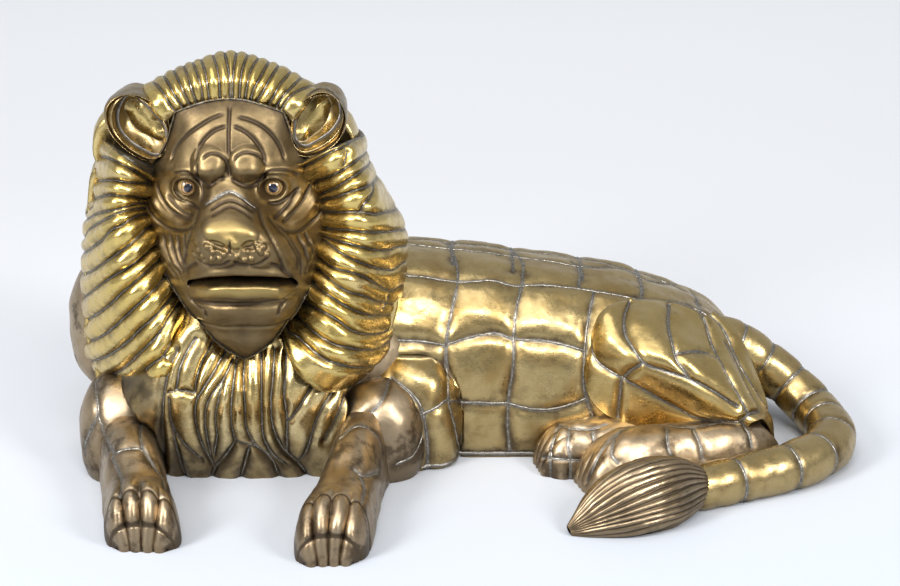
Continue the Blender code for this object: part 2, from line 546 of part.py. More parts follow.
FORELEG_LEFT = [
    (31.0, 6.0, 7.0, 13.0, 12, 0), (28.6, -3.0, 6.7, 14.5, 16, 0), (26.5, -10.0, 5.9, 15.5, 14, 0),
    (25.3, -17.0, 5.5, 15.6, 10, 0), (24.4, -24.0, 5.7, 14.0, 8, 0), (23.5, -30.0, 6.2, 11.8, 6, 0),
    (22.7, -34.5, 6.9, 11.2, 5, 0.3), (22.1, -38.5, 7.1, 11.8, 4, 1), (21.8, -42.0, 7.0, 11.2, 4, 1),
    (21.5, -45.2, 6.5, 9.0, 3, 1), (21.3, -47.0, 5.5, 5.6, 3, 0.9), (21.3, -47.8, 4.3, 1.5, 3, 0.3)]
FORELEG_RIGHT = [
    (-23.0, 4.0, 8.0, 13.0, -8, 0), (-22.4, -6.0, 7.2, 14.5, -12, 0), (-21.4, -13.0, 6.6, 15.0, -14, 0),
    (-19.6, -20.0, 6.9, 14.6, -14, 0), (-18.2, -26.0, 7.1, 12.6, -12, 0), (-17.0, -30.5, 7.2, 11.2, -10, 0.3),
    (-16.2, -34.0, 7.3, 11.6, -8, 1), (-15.7, -37.2, 7.3, 11.2, -6, 1), (-15.4, -39.8, 6.8, 9.0, -4, 1),
    (-15.3, -41.3, 5.8, 5.4, -4, 0.9), (-15.3, -41.9, 4.6, 1.5, -4, 0.3)]
HIND_NEAR = [
    (113.0, 1.0, 3.0, 5.0, -70, 0), (109.5, -1.5, 5.2, 9.0, -74, 0), (104.0, -4.0, 6.0, 11.0, -80, 0),
    (97.0, -6.5, 6.2, 11.4, -80, 0), (90.0, -8.5, 6.3, 11.6, -80, 0), (84.0, -10.0, 6.5, 11.8, -78, 0.2),
    (79.5, -11.2, 6.8, 11.4, -76, 1), (76.0, -12.2, 6.4, 9.4, -74, 1), (73.4, -13.0, 5.4, 6.0, -72, 0.8),
    (71.8, -13.4, 4.2, 1.5, -72, 0.3)]
HIND_FAR = [
    (92.0, 2.0, 5.0, 9.0, -84, 0), (84.0, 0.0, 5.4, 9.8, -82, 0), (77.0, -1.4, 5.8, 10.2, -80, 0.4),
    (71.5, -2.4, 6.0, 10.0, -78, 1), (67.2, -3.2, 5.8, 8.6, -76, 1), (64.6, -3.6, 4.9, 5.4, -76, 0.8),
    (63.4, -3.8, 3.8, 1.5, -76, 0.3)]
BODY_MASSES = [  # name, centre, radii, fineness around and up, squareness
    ("arm_left", (30.0, -1.0, 7.5), (9.2, 11.0, 12.6), 14, 7, 2.3),
    ("arm_right", (-23.6, 0.0, 7.5), (9.4, 12.0, 13.5), 14, 7, 2.4),
    ("elbow_left", (36.0, 5.0, 8.5), (10.5, 10.2, 14.0), 14, 7, 2.6),
    ("shoulder_left", (20.0, 12.0, 16.0), (18.0, 15.0, 18.0), 14, 7, 2.4),
    ("shoulder_right", (-21.0, 15.0, 27.0), (15.4, 14.5, 15.5), 16, 8, 2.6),
    ("chest_under", (0.0, 20.0, 8.0), (32.0, 25.5, 30.0), 18, 7, 2.6),
    ("head_under", (1.0, 6.0, 50.0), (23.0, 13.0, 30.0), 12, 6, 2.0)]
AROUND_PAW = [-1, -0.84, -0.66, -0.48, -0.266, -0.11, 0.0, 0.11, 0.266, 0.48, 0.66, 0.84, 1]


def make_limbs():
    """Forelegs, shoulders and hind feet."""
    ring_body("foreleg_left", limb_rings(FORELEG_LEFT, AROUND_PAW, 2.0))
    ring_body("foreleg_right", limb_rings(FORELEG_RIGHT, AROUND_PAW, 2.0))
    ring_body("hind_foot_near", limb_rings(HIND_NEAR, AROUND_PAW, 1.4))
    ring_body("hind_foot_far", limb_rings(HIND_FAR, AROUND_PAW, 1.4))
    for name, centre, radii, around, rings, power in BODY_MASSES:
        ball_body(name, centre, radii, around, rings, power)


# Tail

TAIL = [(102, 23, 19, 5.4), (107.2, 22.4, 17.6, 5.4), (112.9, 22.2, 14.0, 5.1), (119.2, 20.4, 9.4, 4.9),
        (124.0, 15.2, 5.6, 4.9), (126.0, 8.2, 4.6, 4.9), (125.3, 0.2, 4.5, 4.9), (121.2, -6.6, 4.5, 4.8),
        (114.8, -11.8, 4.4, 4.8), (107.2, -15.6, 4.2, 4.6), (99.9, -18.9, 4.0, 4.5), (93.6, -21.8, 4.0, 4.2),
        (90.0, -23.7, 4.0, 3.6)]
TUFT = [(95.5, -21.6, 4.6, 3.0, 3.4), (93.4, -22.6, 4.9, 4.4, 4.8), (90.0, -24.4, 5.2, 6.2, 6.3),
        (86.0, -26.6, 5.3, 7.6, 7.0), (82.0, -28.6, 5.0, 7.9, 6.9), (78.0, -30.4, 4.2, 7.3, 6.2),
        (74.4, -31.9, 3.1, 5.6, 4.8), (71.2, -33.1, 1.9, 3.4, 3.1), (68.0, -34.2, 0.7, 1.1, 1.2)]


def tube_rings(keys, place, angles, ripple=0.0, ribs=0):
    """Round rings along a path of (x, y, z, radius across, radius up)."""
    k = np.array(keys, float)
    if k.shape[1] == 4:
        k = np.concatenate([k, k[:, 3:4]], axis=1)
    p = smooth(np.arange(len(k)), k, np.asarray(place, float))
    ahead = smooth(np.arange(len(k)), k, np.clip(np.asarray(place, float) + 0.05, 0, len(k) - 1))
    behind = smooth(np.arange(len(k)), k, np.clip(np.asarray(place, float) - 0.05, 0, len(k) - 1))
    run = (ahead - behind)[:, :3]
    run /= np.linalg.norm(run, axis=1, keepdims=True)
    side = np.cross(run, (0, 0, 1.0))
    side /= np.linalg.norm(side, axis=1, keepdims=True)
    up = np.cross(side, run)
    angles = np.asarray(angles, float)
    beat = 1.0 + ripple * (np.abs(np.cos(angles * ribs / 2)) - 0.5) if ribs else np.ones_like(angles)
    c, s = np.cos(angles) * beat, np.sin(angles) * beat
    return (p[:, None, :3] + side[:, None] * (p[:, 3, None] * c)[:, :, None]
            + up[:, None] * (p[:, 4, None] * s)[:, :, None])


def make_tail():
    """Tail in ringed segments and its leaf-shaped tuft."""
    place, swell = [], []
    for k in range(12):
        place += [k, k + 0.25, k + 0.75]
        swell += [0.0, 0.4, 0.4]
    place, swell = place[1:] + [12.0], swell[1:] + [0.0]
    keys = np.array(TAIL, float)
    angles = np.arange(11) * 2 * math.pi / 11
    rings = tube_rings(keys, place, angles)
    core = rings.mean(axis=1, keepdims=True)
    grow = 1.0 + np.array(swell)[:, None, None] / 5.0
    ring_body("tail", core + (rings - core) * grow)
    ribs = 14
    angles = np.arange(ribs * 2) * math.pi / ribs
    place = [0, 0.6, 1, 2, 3, 4, 5, 6, 7, 8]
    ring_body("tuft", tube_rings(TUFT, place, angles, 0.14, ribs))


# Joining

def new_material(name, colour, metallic, rough):
    """Plain material for one part."""
    mat = bpy.data.materials.new(name)
    mat.use_nodes = True
    shader = mat.node_tree.nodes["Principled BSDF"]
    shader.inputs["Base Color"].default_value = (*colour, 1.0)
    shader.inputs["Metallic"].default_value = metallic
    shader.inputs["Roughness"].default_value = rough
    mat.diffuse_color = (*colour, 1.0)
    return mat


def frozen(obj):
    """Mesh of an object with its modifiers worked in."""
    graph = bpy.context.evaluated_depsgraph_get()
    return bpy.data.meshes.new_from_object(obj.evaluated_get(graph), depsgraph=graph)


def join_bodies():
    """Join every body into the first one and return it."""
    group = bpy.data.collections.new("joined")
    bpy.context.scene.collection.children.link(group)
    first = bodies[0]
    for obj in bodies[1:]:
        group.objects.link(obj)
    union = first.modifiers.new("join", "BOOLEAN")
    union.operation = "UNION"
    union.solver = "EXACT"
    union.operand_type = "COLLECTION"
    union.collection = group
    first.data = frozen(first)
    first.modifiers.clear()
    bpy.data.collections.remove(group)
    for obj in bodies[1:]:
        bpy.data.objects.remove(obj, do_unlink=True)
    bodies.clear()
    return first


def thin_out(obj, wanted):
    """Collapse the short edges left by the joins until about the wanted triangles remain."""
    count = sum(len(p.vertices) - 2 for p in obj.data.polygons)
    if count > wanted:
        fewer = obj.modifiers.new("thin", "DECIMATE")
        fewer.ratio = wanted / count
        obj.data = frozen(obj)
        obj.modifiers.clear()


def take_away(obj, cutter):
    """Cut one closed body out of another and drop the cutter."""
    cut = obj.modifiers.new("cut", "BOOLEAN")
    cut.operation = "DIFFERENCE"
    cut.solver = "EXACT"
    cut.object = cutter
    obj.data = frozen(obj)
    obj.modifiers.clear()
    bodies.remove(cutter)
    bpy.data.objects.remove(cutter, do_unlink=True)


def drop_crumbs(obj):
    """Leave only the largest connected shell of a mesh."""
    work = bmesh.new()
    work.from_mesh(obj.data)
    bmesh.ops.remove_doubles(work, verts=work.verts, dist=0.00005)
    left = set(work.faces)
    shells = []
    while left:
        queue = [left.pop()]
        shell = list(queue)
        while queue:
            for edge in queue.pop().edges:
                for face in edge.link_faces:
                    if face in left:
                        left.discard(face)
                        queue.append(face)
                        shell.append(face)
        shells.append(shell)
    shells.sort(key=len, reverse=True)
    for shell in shells[1:]:
        bmesh.ops.delete(work, geom=shell, context="FACES")
    loose = [vertex for vertex in work.verts if not vertex.link_faces]
    bmesh.ops.delete(work, geom=loose, context="VERTS")
    work.to_mesh(obj.data)
    work.free()


def floor_block():
    """Block below the floor, wider than the figure."""
    x = np.array([-60.0, 160.0])
    y = np.array([-70.0, 80.0])
    z = np.array([-40.0, 0.0])
    points = [np.array([a, b, c]) for c in z for b in y for a in x]
    faces = [(0, 2, 3, 1), (4, 5, 7, 6), (0, 1, 5, 4), (2, 6, 7, 3), (0, 4, 6, 2), (1, 3, 7, 5)]
    return add_body("floor_block", points, faces)


def eye_middle(side):
    """Centre of one eye ball, in parts of the height."""
    return (FACE_X + side * EYE_X, -EYE_DEPTH, EYE_Z)


make_face()
make_mane()
make_ears()
make_torso()
make_haunches()
make_limbs()
make_tail()
lion = join_bodies()
drop_crumbs(lion)
thin_out(lion, TRIANGLES)
take_away(lion, floor_block())
for hand in (-1, 1):
    socket = (EYE_RADIUS + EYE_GAP) / PART
    take_away(lion, ball_body("socket", eye_middle(hand), (socket,) * 3, 14, 7))
drop_crumbs(lion)

eyes = []
for hand, name in ((-1, "eye_right"), (1, "eye_left")):
    eye = ball_body(name, eye_middle(hand), (EYE_RADIUS / PART,) * 3, 14, 7)
    eyes.append(eye)

places = np.array([vertex.co[:] for vertex in lion.data.vertices])
low, high = places.min(axis=0), places.max(axis=0)
shift = np.array([-(low[0] + high[0]) / 2, -(low[1] + high[1]) / 2, -low[2]])
brass = new_material("aged_brass", (0.52, 0.36, 0.12), 1.0, 0.32)
glass = new_material("eye_glass", (0.05, 0.03, 0.02), 0.0, 0.08)
lion.name = "lion"
for obj, mat in ((lion, brass), (eyes[0], glass), (eyes[1], glass)):
    for vertex in obj.data.vertices:
        vertex.co = tuple(np.array(vertex.co[:]) + shift)
    obj.data.name = obj.name
    obj.data.materials.clear()
    obj.data.materials.append(mat)
    for polygon in obj.data.polygons:
        polygon.use_smooth = True
        polygon.material_index = 0
    obj.data.update()
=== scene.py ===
"""Recumbent lion in soldered sheet brass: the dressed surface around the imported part.

Shapes are drawn in centimetres: X along the body, the face looks towards -Y, Z up from the floor.
Each sub-assembly is a curved skin made from a few guide curves.  Seams, folds and creases that the
photograph shows are pixel lines in its 900 x 586 frame, laid onto the skin from the camera.
"""
import logging
import math
from collections import deque
from dataclasses import dataclass
from enum import Enum

import bmesh
import bpy
import numpy as np
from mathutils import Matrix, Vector
from mathutils.bvhtree import BVHTree


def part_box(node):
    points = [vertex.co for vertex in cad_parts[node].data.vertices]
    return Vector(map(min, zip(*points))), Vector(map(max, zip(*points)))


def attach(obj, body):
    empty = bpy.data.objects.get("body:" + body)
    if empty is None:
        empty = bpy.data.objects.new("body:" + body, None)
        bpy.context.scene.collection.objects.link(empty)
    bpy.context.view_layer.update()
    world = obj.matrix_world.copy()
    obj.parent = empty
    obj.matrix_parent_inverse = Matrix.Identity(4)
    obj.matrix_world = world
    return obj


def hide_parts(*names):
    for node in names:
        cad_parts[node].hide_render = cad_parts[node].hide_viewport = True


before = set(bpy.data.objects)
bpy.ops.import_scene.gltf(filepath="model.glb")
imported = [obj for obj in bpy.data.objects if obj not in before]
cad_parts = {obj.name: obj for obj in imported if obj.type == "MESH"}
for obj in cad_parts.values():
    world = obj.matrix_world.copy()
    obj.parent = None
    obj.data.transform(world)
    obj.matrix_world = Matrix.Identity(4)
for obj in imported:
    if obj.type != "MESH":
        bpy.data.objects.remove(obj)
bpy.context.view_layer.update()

log = logging.getLogger("lion")

Array = np.ndarray
Material = bpy.types.Material
Piece = bpy.types.Object
Socket = bpy.types.NodeSocket
Triple = tuple[float, float, float]     # a place, half sizes or a colour
Pixels = list[tuple[float, float]]      # a few pixels of a line, in order

FAR = 9.0               # cm: past this distance a seam no longer matters
TINY = 1e-9             # shorter than this, a line has no direction
EYE_X, EYE_Z, EYE_DEPTH = 8.5, 64.6, 10.6       # cm: an eye to the side, up and forward of the face's middle
FACE_X = 1.2            # cm: the face's middle across
LIP_TOP = 49.7          # cm: upper lip edge under the nose
VALUES = ("seam", "tone", "dirt_and_shade", "gold")       # what a brass finish reads from its sheet
FLOOR_GAP = 0.0002      # m: the sheets end this far above the floor


def smooth(knots: list, values: list, at: Array) -> Array:
    """Cubic curve through values at knots.

    Args:
        knots: rising places of the values.
        values: one value or point for each knot.
        at: places to read.

    Returns:
        The values at those places, along the first axis.
    """
    k, v, a = (np.asarray(x, float) for x in (knots, values, at))
    tail = (1,) * (v.ndim - 1)
    step = np.diff(k).reshape((-1,) + tail)
    slope = np.diff(v, axis=0) / step
    tangent = np.empty_like(v)
    tangent[0], tangent[-1] = slope[0], slope[-1]
    if len(k) > 2:
        tangent[1:-1] = (slope[:-1] * step[1:] + slope[1:] * step[:-1]) / (step[:-1] + step[1:])
    cell = np.clip(np.searchsorted(k, a, side="right") - 1, 0, len(k) - 2)
    h = (k[cell + 1] - k[cell]).reshape(a.shape + tail)
    q = clip((a - k[cell]) / (k[cell + 1] - k[cell])).reshape(a.shape + tail)
    return (v[cell] * (2 * q**3 - 3 * q**2 + 1) + tangent[cell] * h * (q**3 - 2 * q**2 + q)
            + v[cell + 1] * (3 * q**2 - 2 * q**3) + tangent[cell + 1] * h * (q**3 - q**2))


def clip(value: Array) -> Array:
    """Values kept from 0 to 1."""
    return np.clip(value, 0.0, 1.0)


def bump(distance: Array, reach: float) -> Array:
    """Soft rounded rise: 1 at distance 0 and almost nothing past the reach."""
    return np.exp(-(distance / reach) ** 2)


def pillow(w: Array) -> Array:
    """Cross profile of a puffed lock: 0 at both seams, 1 in the middle."""
    return np.sqrt(clip(1.0 - np.abs(2.0 * w - 1.0) ** 2.6))


def ease(value: Array, low: float, high: float) -> Array:
    """Smooth step from 0 at low to 1 at high."""
    q = clip((value - low) / (high - low))
    return q * q * (3 - 2 * q)


def bend(value: Array, power: float) -> Array:
    """Power that keeps the sign; below 1 it squares a round."""
    return np.sign(value) * np.abs(value) ** power


def unit(arrow: Array) -> Array:
    """Arrows of length 1, along the last axis."""
    return arrow / np.maximum(np.linalg.norm(arrow, axis=-1, keepdims=True), TINY)


def lengths(line: Array) -> Array:
    """Length along a line up to each of its points."""
    return np.concatenate([[0.0], np.cumsum(np.linalg.norm(np.diff(line, axis=0), axis=1))])


def circle(count: int) -> Array:
    """Angles of even places round a ring."""
    return np.arange(count) * 2 * math.pi / count


def patch(guides: list, spacing: list, rows: int, columns: int) -> Array:
    """Smooth grid through guide curves.

    Args:
        guides: curves, side by side and with as many points each.
        spacing: how far apart they lie.
        rows: rows of the grid, across the curves.
        columns: points in a row, along the curves.

    Returns:
        The points of the grid.
    """
    lines = np.array(guides, float)
    last = lines.shape[1] - 1
    along = smooth(np.arange(last + 1), lines.transpose(1, 0, 2), np.linspace(0, last, columns))
    knots = np.concatenate([[0], np.cumsum(spacing)]).astype(float)
    return smooth(knots, along.transpose(1, 0, 2), np.linspace(0, knots[-1], rows))


def waves(points: Array, length: float, seed: int, count: int = 10) -> Array:
    """Smooth irregular field of about -1 to 1 over points.

    Args:
        points: places in centimetres.
        length: typical wave length in centimetres.
        seed: which field of its kind.
        count: waves that are summed.

    Returns:
        One value for each point.
    """
    draw = np.random.default_rng(seed)
    aim = unit(draw.normal(size=(count, 3)))
    aim *= (2 * math.pi / length * draw.uniform(0.6, 1.4, count))[:, None]
    phase = draw.uniform(0, 2 * math.pi, count)
    return np.sin(points @ aim.T + phase).sum(axis=-1) / math.sqrt(count) / 1.2


def line_field(points: Array, line: Array, reach: float) -> tuple[Array, Array]:
    """Distance of points from a line, up to a reach.

    Args:
        points: flat array of places.
        line: points of the line, in order.
        reach: distance at which the field stops.

    Returns:
        The distances and the share along the line of the nearest place.
    """
    best = np.full(len(points), reach)
    share = np.zeros(len(points))
    near = (points > line.min(0) - reach) & (points < line.max(0) + reach)
    near = np.nonzero(np.all(near, axis=1))[0]
    if not len(near):
        return best, share
    close, own = points[near], np.full(len(near), reach)
    part = np.zeros(len(near))
    run = np.diff(line, axis=0)
    size = np.linalg.norm(run, axis=1)
    start = lengths(line)
    for a, d, length, begin in zip(line, run, size, start):
        if length < TINY:
            continue
        rel = close - a
        t = clip(rel @ d / length**2)
        gap = np.linalg.norm(rel - t[:, None] * d, axis=1)
        closer = gap < own
        own[closer] = gap[closer]
        part[closer] = ((begin + t * length) / start[-1])[closer]
    best[near], share[near] = own, part
    return best, share


@dataclass(frozen=True)
class Drawing:
    """Ties the drawing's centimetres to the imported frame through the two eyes."""

    scale: float
    shift: Triple

    @classmethod
    def from_frame(cls) -> "Drawing":
        """Read the scale and the shift from where the eyes were packed."""
        left, right = (sum(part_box(name), Vector()) / 2 for name in ("eye_left", "eye_right"))
        scale = (left - right).length / (2 * EYE_X)
        middle = (left + right) / 2
        drawn = Vector((FACE_X, -EYE_DEPTH, EYE_Z)) * scale
        return cls(scale, tuple(middle - drawn))

    def place(self, points: Array) -> Array:
        """Points of the drawing as points of the frame, in metres."""
        return np.asarray(points, float) * self.scale + np.array(self.shift)


@dataclass(frozen=True)
class PhotoView:
    """Pinhole view of the photograph, fitted to the figure."""

    eye: Triple = (44.5, -399.4, 183.6)
    pitch: float = 20.0
    focal: float = 2058.0
    width: int = 900
    height: int = 586
    sensor: float = 36.0

    def ray(self, pixel: tuple[float, float]) -> tuple[Vector, Vector]:
        """Start and direction of the line of sight through a pixel."""
        down = math.radians(self.pitch)
        forward = Vector((0, math.cos(down), -math.sin(down)))
        up = Vector((0, math.sin(down), math.cos(down)))
        aim = forward * self.focal + Vector((pixel[0] - self.width / 2, 0, 0))
        aim += up * (self.height / 2 - pixel[1])
        return Vector(self.eye), aim.normalized()

    def curve(self, pixels: Pixels, step: float = 2.0) -> Pixels:
        """Smooth pixel line through a few pixels."""
        line = np.array(pixels, float)
        run = lengths(line)
        count = max(2, int(run[-1] / step) + 1)
        return [tuple(p) for p in smooth(run, line, np.linspace(0, run[-1], count))]


DRAWING = Drawing.from_frame()
VIEW = PhotoView()


class Kind(Enum):
    """What a line on the surface is."""

    SEAM = "soldered joint between two panels"
    CREASE = "dark hammered groove"
    RIDGE = "rounded raised fold"


class Skin:
    """Curved sheet as a grid of points, with relief and the values that its finish reads."""

    WALL = 0.50         # cm: points this near a seam belong to it while panels are numbered
    WALL_CELLS = 8      # grid cells over which panels grow back to the seam
    NARROWEST = 0.8     # cm: half width of the narrowest panel that swells in full
    SKIRT = (0.0, 0.03, 0.12, 0.32)     # share of the way in, step by step, of a closed border
    HOLLOWS = ((2, 1.6), (5, 0.6))      # cells over which dirt finds a hollow, and how much it counts
    SOOT_AND_SHADE = 0.95         # how much a hammered crease, and a sheet's painted shade, darken the finish
    SKIRT_SHADE = 0.25   # painted shade that each step of a closed border adds

    def __init__(self, points: Array, inside: tuple, wrap: bool = False) -> None:
        """Take over a grid.

        Args:
            points: rows x columns x 3, in centimetres.
            inside: a point on the inner side.
            wrap: whether the last column joins the first.
        """
        self.points = np.asarray(points, float)
        self.wrap = wrap
        self.normals = self._normals(self.points)
        side = np.sum(self.normals * (self.points - np.asarray(inside, float)), axis=2).mean()
        self.turn = 1.0 if side > 0 else -1.0
        self.normals *= self.turn
        shape = self.points.shape[:2]
        self.height = np.zeros(shape)
        self.seam = np.full(shape, FAR)
        self.groove_and_shade = np.zeros(shape)
        self.tone = np.full(shape, 0.5)
        self.gold = np.full(shape, 0.5)
        self.lines: list[Array] = []

    def _normals(self, grid: Array) -> Array:
        """Unit normals of a grid, turned whichever way the grid runs."""
        if self.wrap:
            wide = np.concatenate([grid[:, -1:], grid, grid[:, :1]], axis=1)
            across = np.gradient(wide, axis=1)[:, 1:-1]
        else:
            across = np.gradient(grid, axis=1)
        return unit(np.cross(np.gradient(grid, axis=0), across))

    def tree(self) -> BVHTree:
        """Search tree of the sheet as it is now."""
        return BVHTree.FromPolygons([tuple(p) for p in self.points.reshape(-1, 3)], self.faces())

    def faces(self) -> list[tuple[int, int, int, int]]:
        """Quads of the grid, facing out."""
        rows, columns = self.points.shape[:2]
        first = np.arange(rows - 1)[:, None] * columns
        j = np.arange(columns if self.wrap else columns - 1)[None, :]
        k = (j + 1) % columns
        quad = np.stack([first + j, first + k, first + columns + k, first + columns + j], axis=-1)
        quad = quad.reshape(-1, 4)
        return quad[:, ::-1].tolist() if self.turn > 0 else quad.tolist()

    def lay(self, pixels: Pixels, tree: BVHTree) -> Array:
        """Pixel line laid onto the sheet from the camera.

        Args:
            pixels: a few pixels of the line.
            tree: search tree of the sheet.

        Returns:
            Points on the sheet, perhaps fewer than two where the sheet isn't met.
        """
        hits = (tree.ray_cast(*VIEW.ray(pixel))[0] for pixel in VIEW.curve(pixels))
        return np.array([tuple(hit) for hit in hits if hit is not None]).reshape(-1, 3)

    def work(self, kind: Kind, width: float, rise: float, lines: list[Pixels], taper: float = 0.0) -> None:
        """Lay pixel lines on the sheet and add their relief.

        Args:
            kind: what the lines are.
            width: their half width in centimetres.
            rise: their height in centimetres, below 0 for a groove.
            lines: a few pixels of each.
            taper: share of each line over which its relief fades at both ends.
        """
        tree = self.tree()
        for pixels in lines:
            line = self.lay(pixels, tree)
            if len(line) > 1:
                self.work_line(line, kind, width, rise, taper)

    def work_line(self, line: Array, kind: Kind, width: float, rise: float, taper: float = 0.0) -> None:
        """Add the relief of one line of points; the other values are those of work()."""
        gap, share = line_field(self.points.reshape(-1, 3), line, FAR)
        gap, share = gap.reshape(self.height.shape), share.reshape(self.height.shape)
        fade = 1.0
        if taper > 0:
            fade = ease(share, 0.0, taper) * ease(1 - share, 0.0, taper)
        self.height += rise * bump(gap, width) * fade
        if kind is Kind.SEAM:
            self.seam = np.minimum(self.seam, gap)
            self.lines.append(line)
        elif kind is Kind.CREASE:
            self.groove_and_shade = np.maximum(self.groove_and_shade, bump(gap, width * 1.2) * fade)

    def puff(self, rise: float, reach: float, vary: float = 0.0, seed: int = 1) -> None:
        """Swell the panels between the seams, narrow ones less.

        Args:
            rise: height of a wide panel above its seams, in centimetres.
            reach: distance from a seam over which a wide panel rises.
            vary: how much the rise differs between panels.
            seed: which random draw of panel tones.
        """
        labels, count = self._panels()
        draw = np.random.default_rng(seed)
        tones = np.concatenate([[0.5], draw.uniform(0, 1, count)])
        half = np.zeros(count + 1)
        np.maximum.at(half, labels.ravel(), self.seam.ravel())
        near = np.clip(half[labels], self.NARROWEST, reach)
        self.tone = tones[labels]
        grow = (1 + vary * (self.tone * 2 - 1)) * (near / reach) ** 0.7
        share = clip(self.seam / near)
        self.height += rise * grow * (1 - (1 - share) ** 2) ** 0.75

    def _panels(self) -> tuple[Array, int]:
        """Number the areas that the seams part from each other, from 1, and share out the seams."""
        labels = np.where(self.seam < self.WALL, 0, -1)
        rows, columns = labels.shape
        count = 0
        for i, j in np.argwhere(labels < 0):
            if labels[i, j] >= 0:
                continue
            count += 1
            labels[i, j] = count
            queue = deque([(i, j)])
            while queue:
                a, b = queue.popleft()
                for c, d in ((a + 1, b), (a - 1, b), (a, b + 1), (a, b - 1)):
                    if 0 <= c < rows and 0 <= d < columns and labels[c, d] < 0:
                        labels[c, d] = count
                        queue.append((c, d))
        for _ in range(self.WALL_CELLS):
            wide = np.pad(labels, 1, mode="edge")
            labels = np.where(labels == 0, np.max(self._around(wide), axis=0), labels)
        return labels, count

    @staticmethod
    def _around(wide: Array, step: int = 1) -> tuple[Array, Array, Array, Array]:
        """The four neighbours of each cell of a padded grid, some steps away."""
        here = slice(step, -step)
        return wide[2 * step:, here], wide[:-2 * step, here], wide[here, 2 * step:], wide[here, :-2 * step]

    def hammer(self, rise: float, length: float, seed: int) -> None:
        """Add the soft unevenness of hand-hammered sheet."""
        self.height += rise * waves(self.points, length, seed)

    def settle(self, soften: int = 0) -> "Skin":
        """Move the points by the relief and work out where the finish darkens: hollows, creases and painted
        shade.

        Args:
            soften: rounds of smoothing of the relief.

        Returns:
            The sheet itself.
        """
        for _ in range(soften):
            h = np.pad(self.height, 1, mode="edge")
            down, up, right, left = self._around(h)
            self.height = (h[1:-1, 1:-1] * 4 + down + up + right + left) / 8
        self.points = self.points + self.normals * self.height[:, :, None]
        self.height = np.zeros_like(self.height)
        self.normals = self._normals(self.points) * self.turn
        hollow = sum(self.cavity(step) * much for step, much in self.HOLLOWS)
        self.dirt_and_shade = clip(hollow + self.groove_and_shade * self.SOOT_AND_SHADE)
        return self

    def close(self, inside: tuple) -> "Skin":
        """Lead the border of a settled sheet in towards a point inside, so that no gap shows behind it, and
        darken the turned-in rows with painted shade.
        """
        count = len(self.SKIRT) - 1
        steps = []
        for cells in self.points.shape[:2]:
            at = np.arange(cells + 2 * count)
            steps.append(np.clip(np.maximum(count - at, at - cells - count + 1), 0, count))
        depth = np.maximum(steps[0][:, None], steps[1][None, :])
        wide = np.pad(self.points, ((count, count), (count, count), (0, 0)), mode="edge")
        self.points = wide + (np.asarray(inside, float) - wide) * np.array(self.SKIRT)[depth][:, :, None]
        for key in VALUES:
            setattr(self, key, np.pad(getattr(self, key), count, mode="edge"))
        # Painted shade on the turned-in rows, darker with each step.
        self.dirt_and_shade = clip(self.dirt_and_shade + self.SKIRT_SHADE * depth)
        return self

    def border(self, *lines: Array) -> None:
        """Count lines of points as panel edges that carry no solder."""
        flat = self.points.reshape(-1, 3)
        for line in lines:
            self.seam = np.minimum(self.seam, line_field(flat, line, FAR)[0].reshape(self.seam.shape))

    def cavity(self, step: int) -> Array:
        """How far the neighbours stand above each point, in centimetres."""
        wide = np.pad(self.points, ((step, step), (step, step), (0, 0)), mode="edge")
        down, up, right, left = self._around(wide, step)
        return np.sum(((down + up + right + left) / 4 - self.points) * self.normals, axis=2)


def ball_skin(centre: Triple, radii: Triple, power: float, rows: int = 60, around: int = 96) -> Skin:
    """Rounded mass with three radii; a power above 2 squares it.

    Args:
        centre: its middle, in centimetres.
        radii: half sizes along X, Y and Z.
        power: 2 for a plain ball.
        rows: rings from pole to pole.
        around: points in a ring.

    Returns:
        The sheet, unsettled.
    """
    lat, lon = np.linspace(-math.pi / 2, math.pi / 2, rows)[:, None], circle(around)[None, :]
    e = 2.0 / power
    wide = np.abs(np.cos(lat)) ** e
    x, y, z = bend(np.cos(lon), e) * wide, bend(np.sin(lon), e) * wide, bend(np.sin(lat), e) + 0 * lon
    ball = np.stack([x, y, z], axis=2) * np.asarray(radii, float)
    return Skin(np.asarray(centre, float) + ball, centre, True)


def put(name: str, data: bpy.types.ID | None) -> Piece:
    """New object in the scene around a mesh, a lamp or a camera."""
    made = bpy.data.objects.new(name, data)
    bpy.context.scene.collection.objects.link(made)
    return made


def build_mesh(name: str, points: Array, faces: list, values: dict[str, Array]) -> Piece:
    """Mesh object from points in centimetres, cut off flat at the floor.

    Args:
        name: the piece's name.
        points: flat array of places.
        faces: lists of corner numbers.
        values: one number a point for each named attribute.

    Returns:
        The new object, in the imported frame.
    """
    mesh = bpy.data.meshes.new(name)
    mesh.from_pydata(DRAWING.place(points).tolist(), [], faces)
    for key, numbers in values.items():
        layer = mesh.attributes.new(key, "FLOAT", "POINT")
        layer.data.foreach_set("value", np.asarray(numbers, np.float32).ravel())
    if points[:, 2].min() < 0:
        work = bmesh.new()
        work.from_mesh(mesh)
        whole = list(work.verts) + list(work.edges) + list(work.faces)
        bmesh.ops.bisect_plane(work, geom=whole, dist=1e-6, plane_co=(0, 0, FLOOR_GAP),
                               plane_no=(0, 0, 1), clear_inner=True)
        work.to_mesh(mesh)
        work.free()
    mesh.polygons.foreach_set("use_smooth", [True] * len(mesh.polygons))
    mesh.update()
    return put(name, mesh)


def dress(piece: Piece, material: Material, slot: str, *stands_for: str) -> Piece:
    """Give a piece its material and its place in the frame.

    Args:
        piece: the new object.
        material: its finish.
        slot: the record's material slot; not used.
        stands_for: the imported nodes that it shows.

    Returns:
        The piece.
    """
    piece.data.materials.append(material)
    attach(piece, "root")
    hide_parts(*stands_for)
    log.info("%s: %d faces", piece.name, len(piece.data.polygons))
    return piece


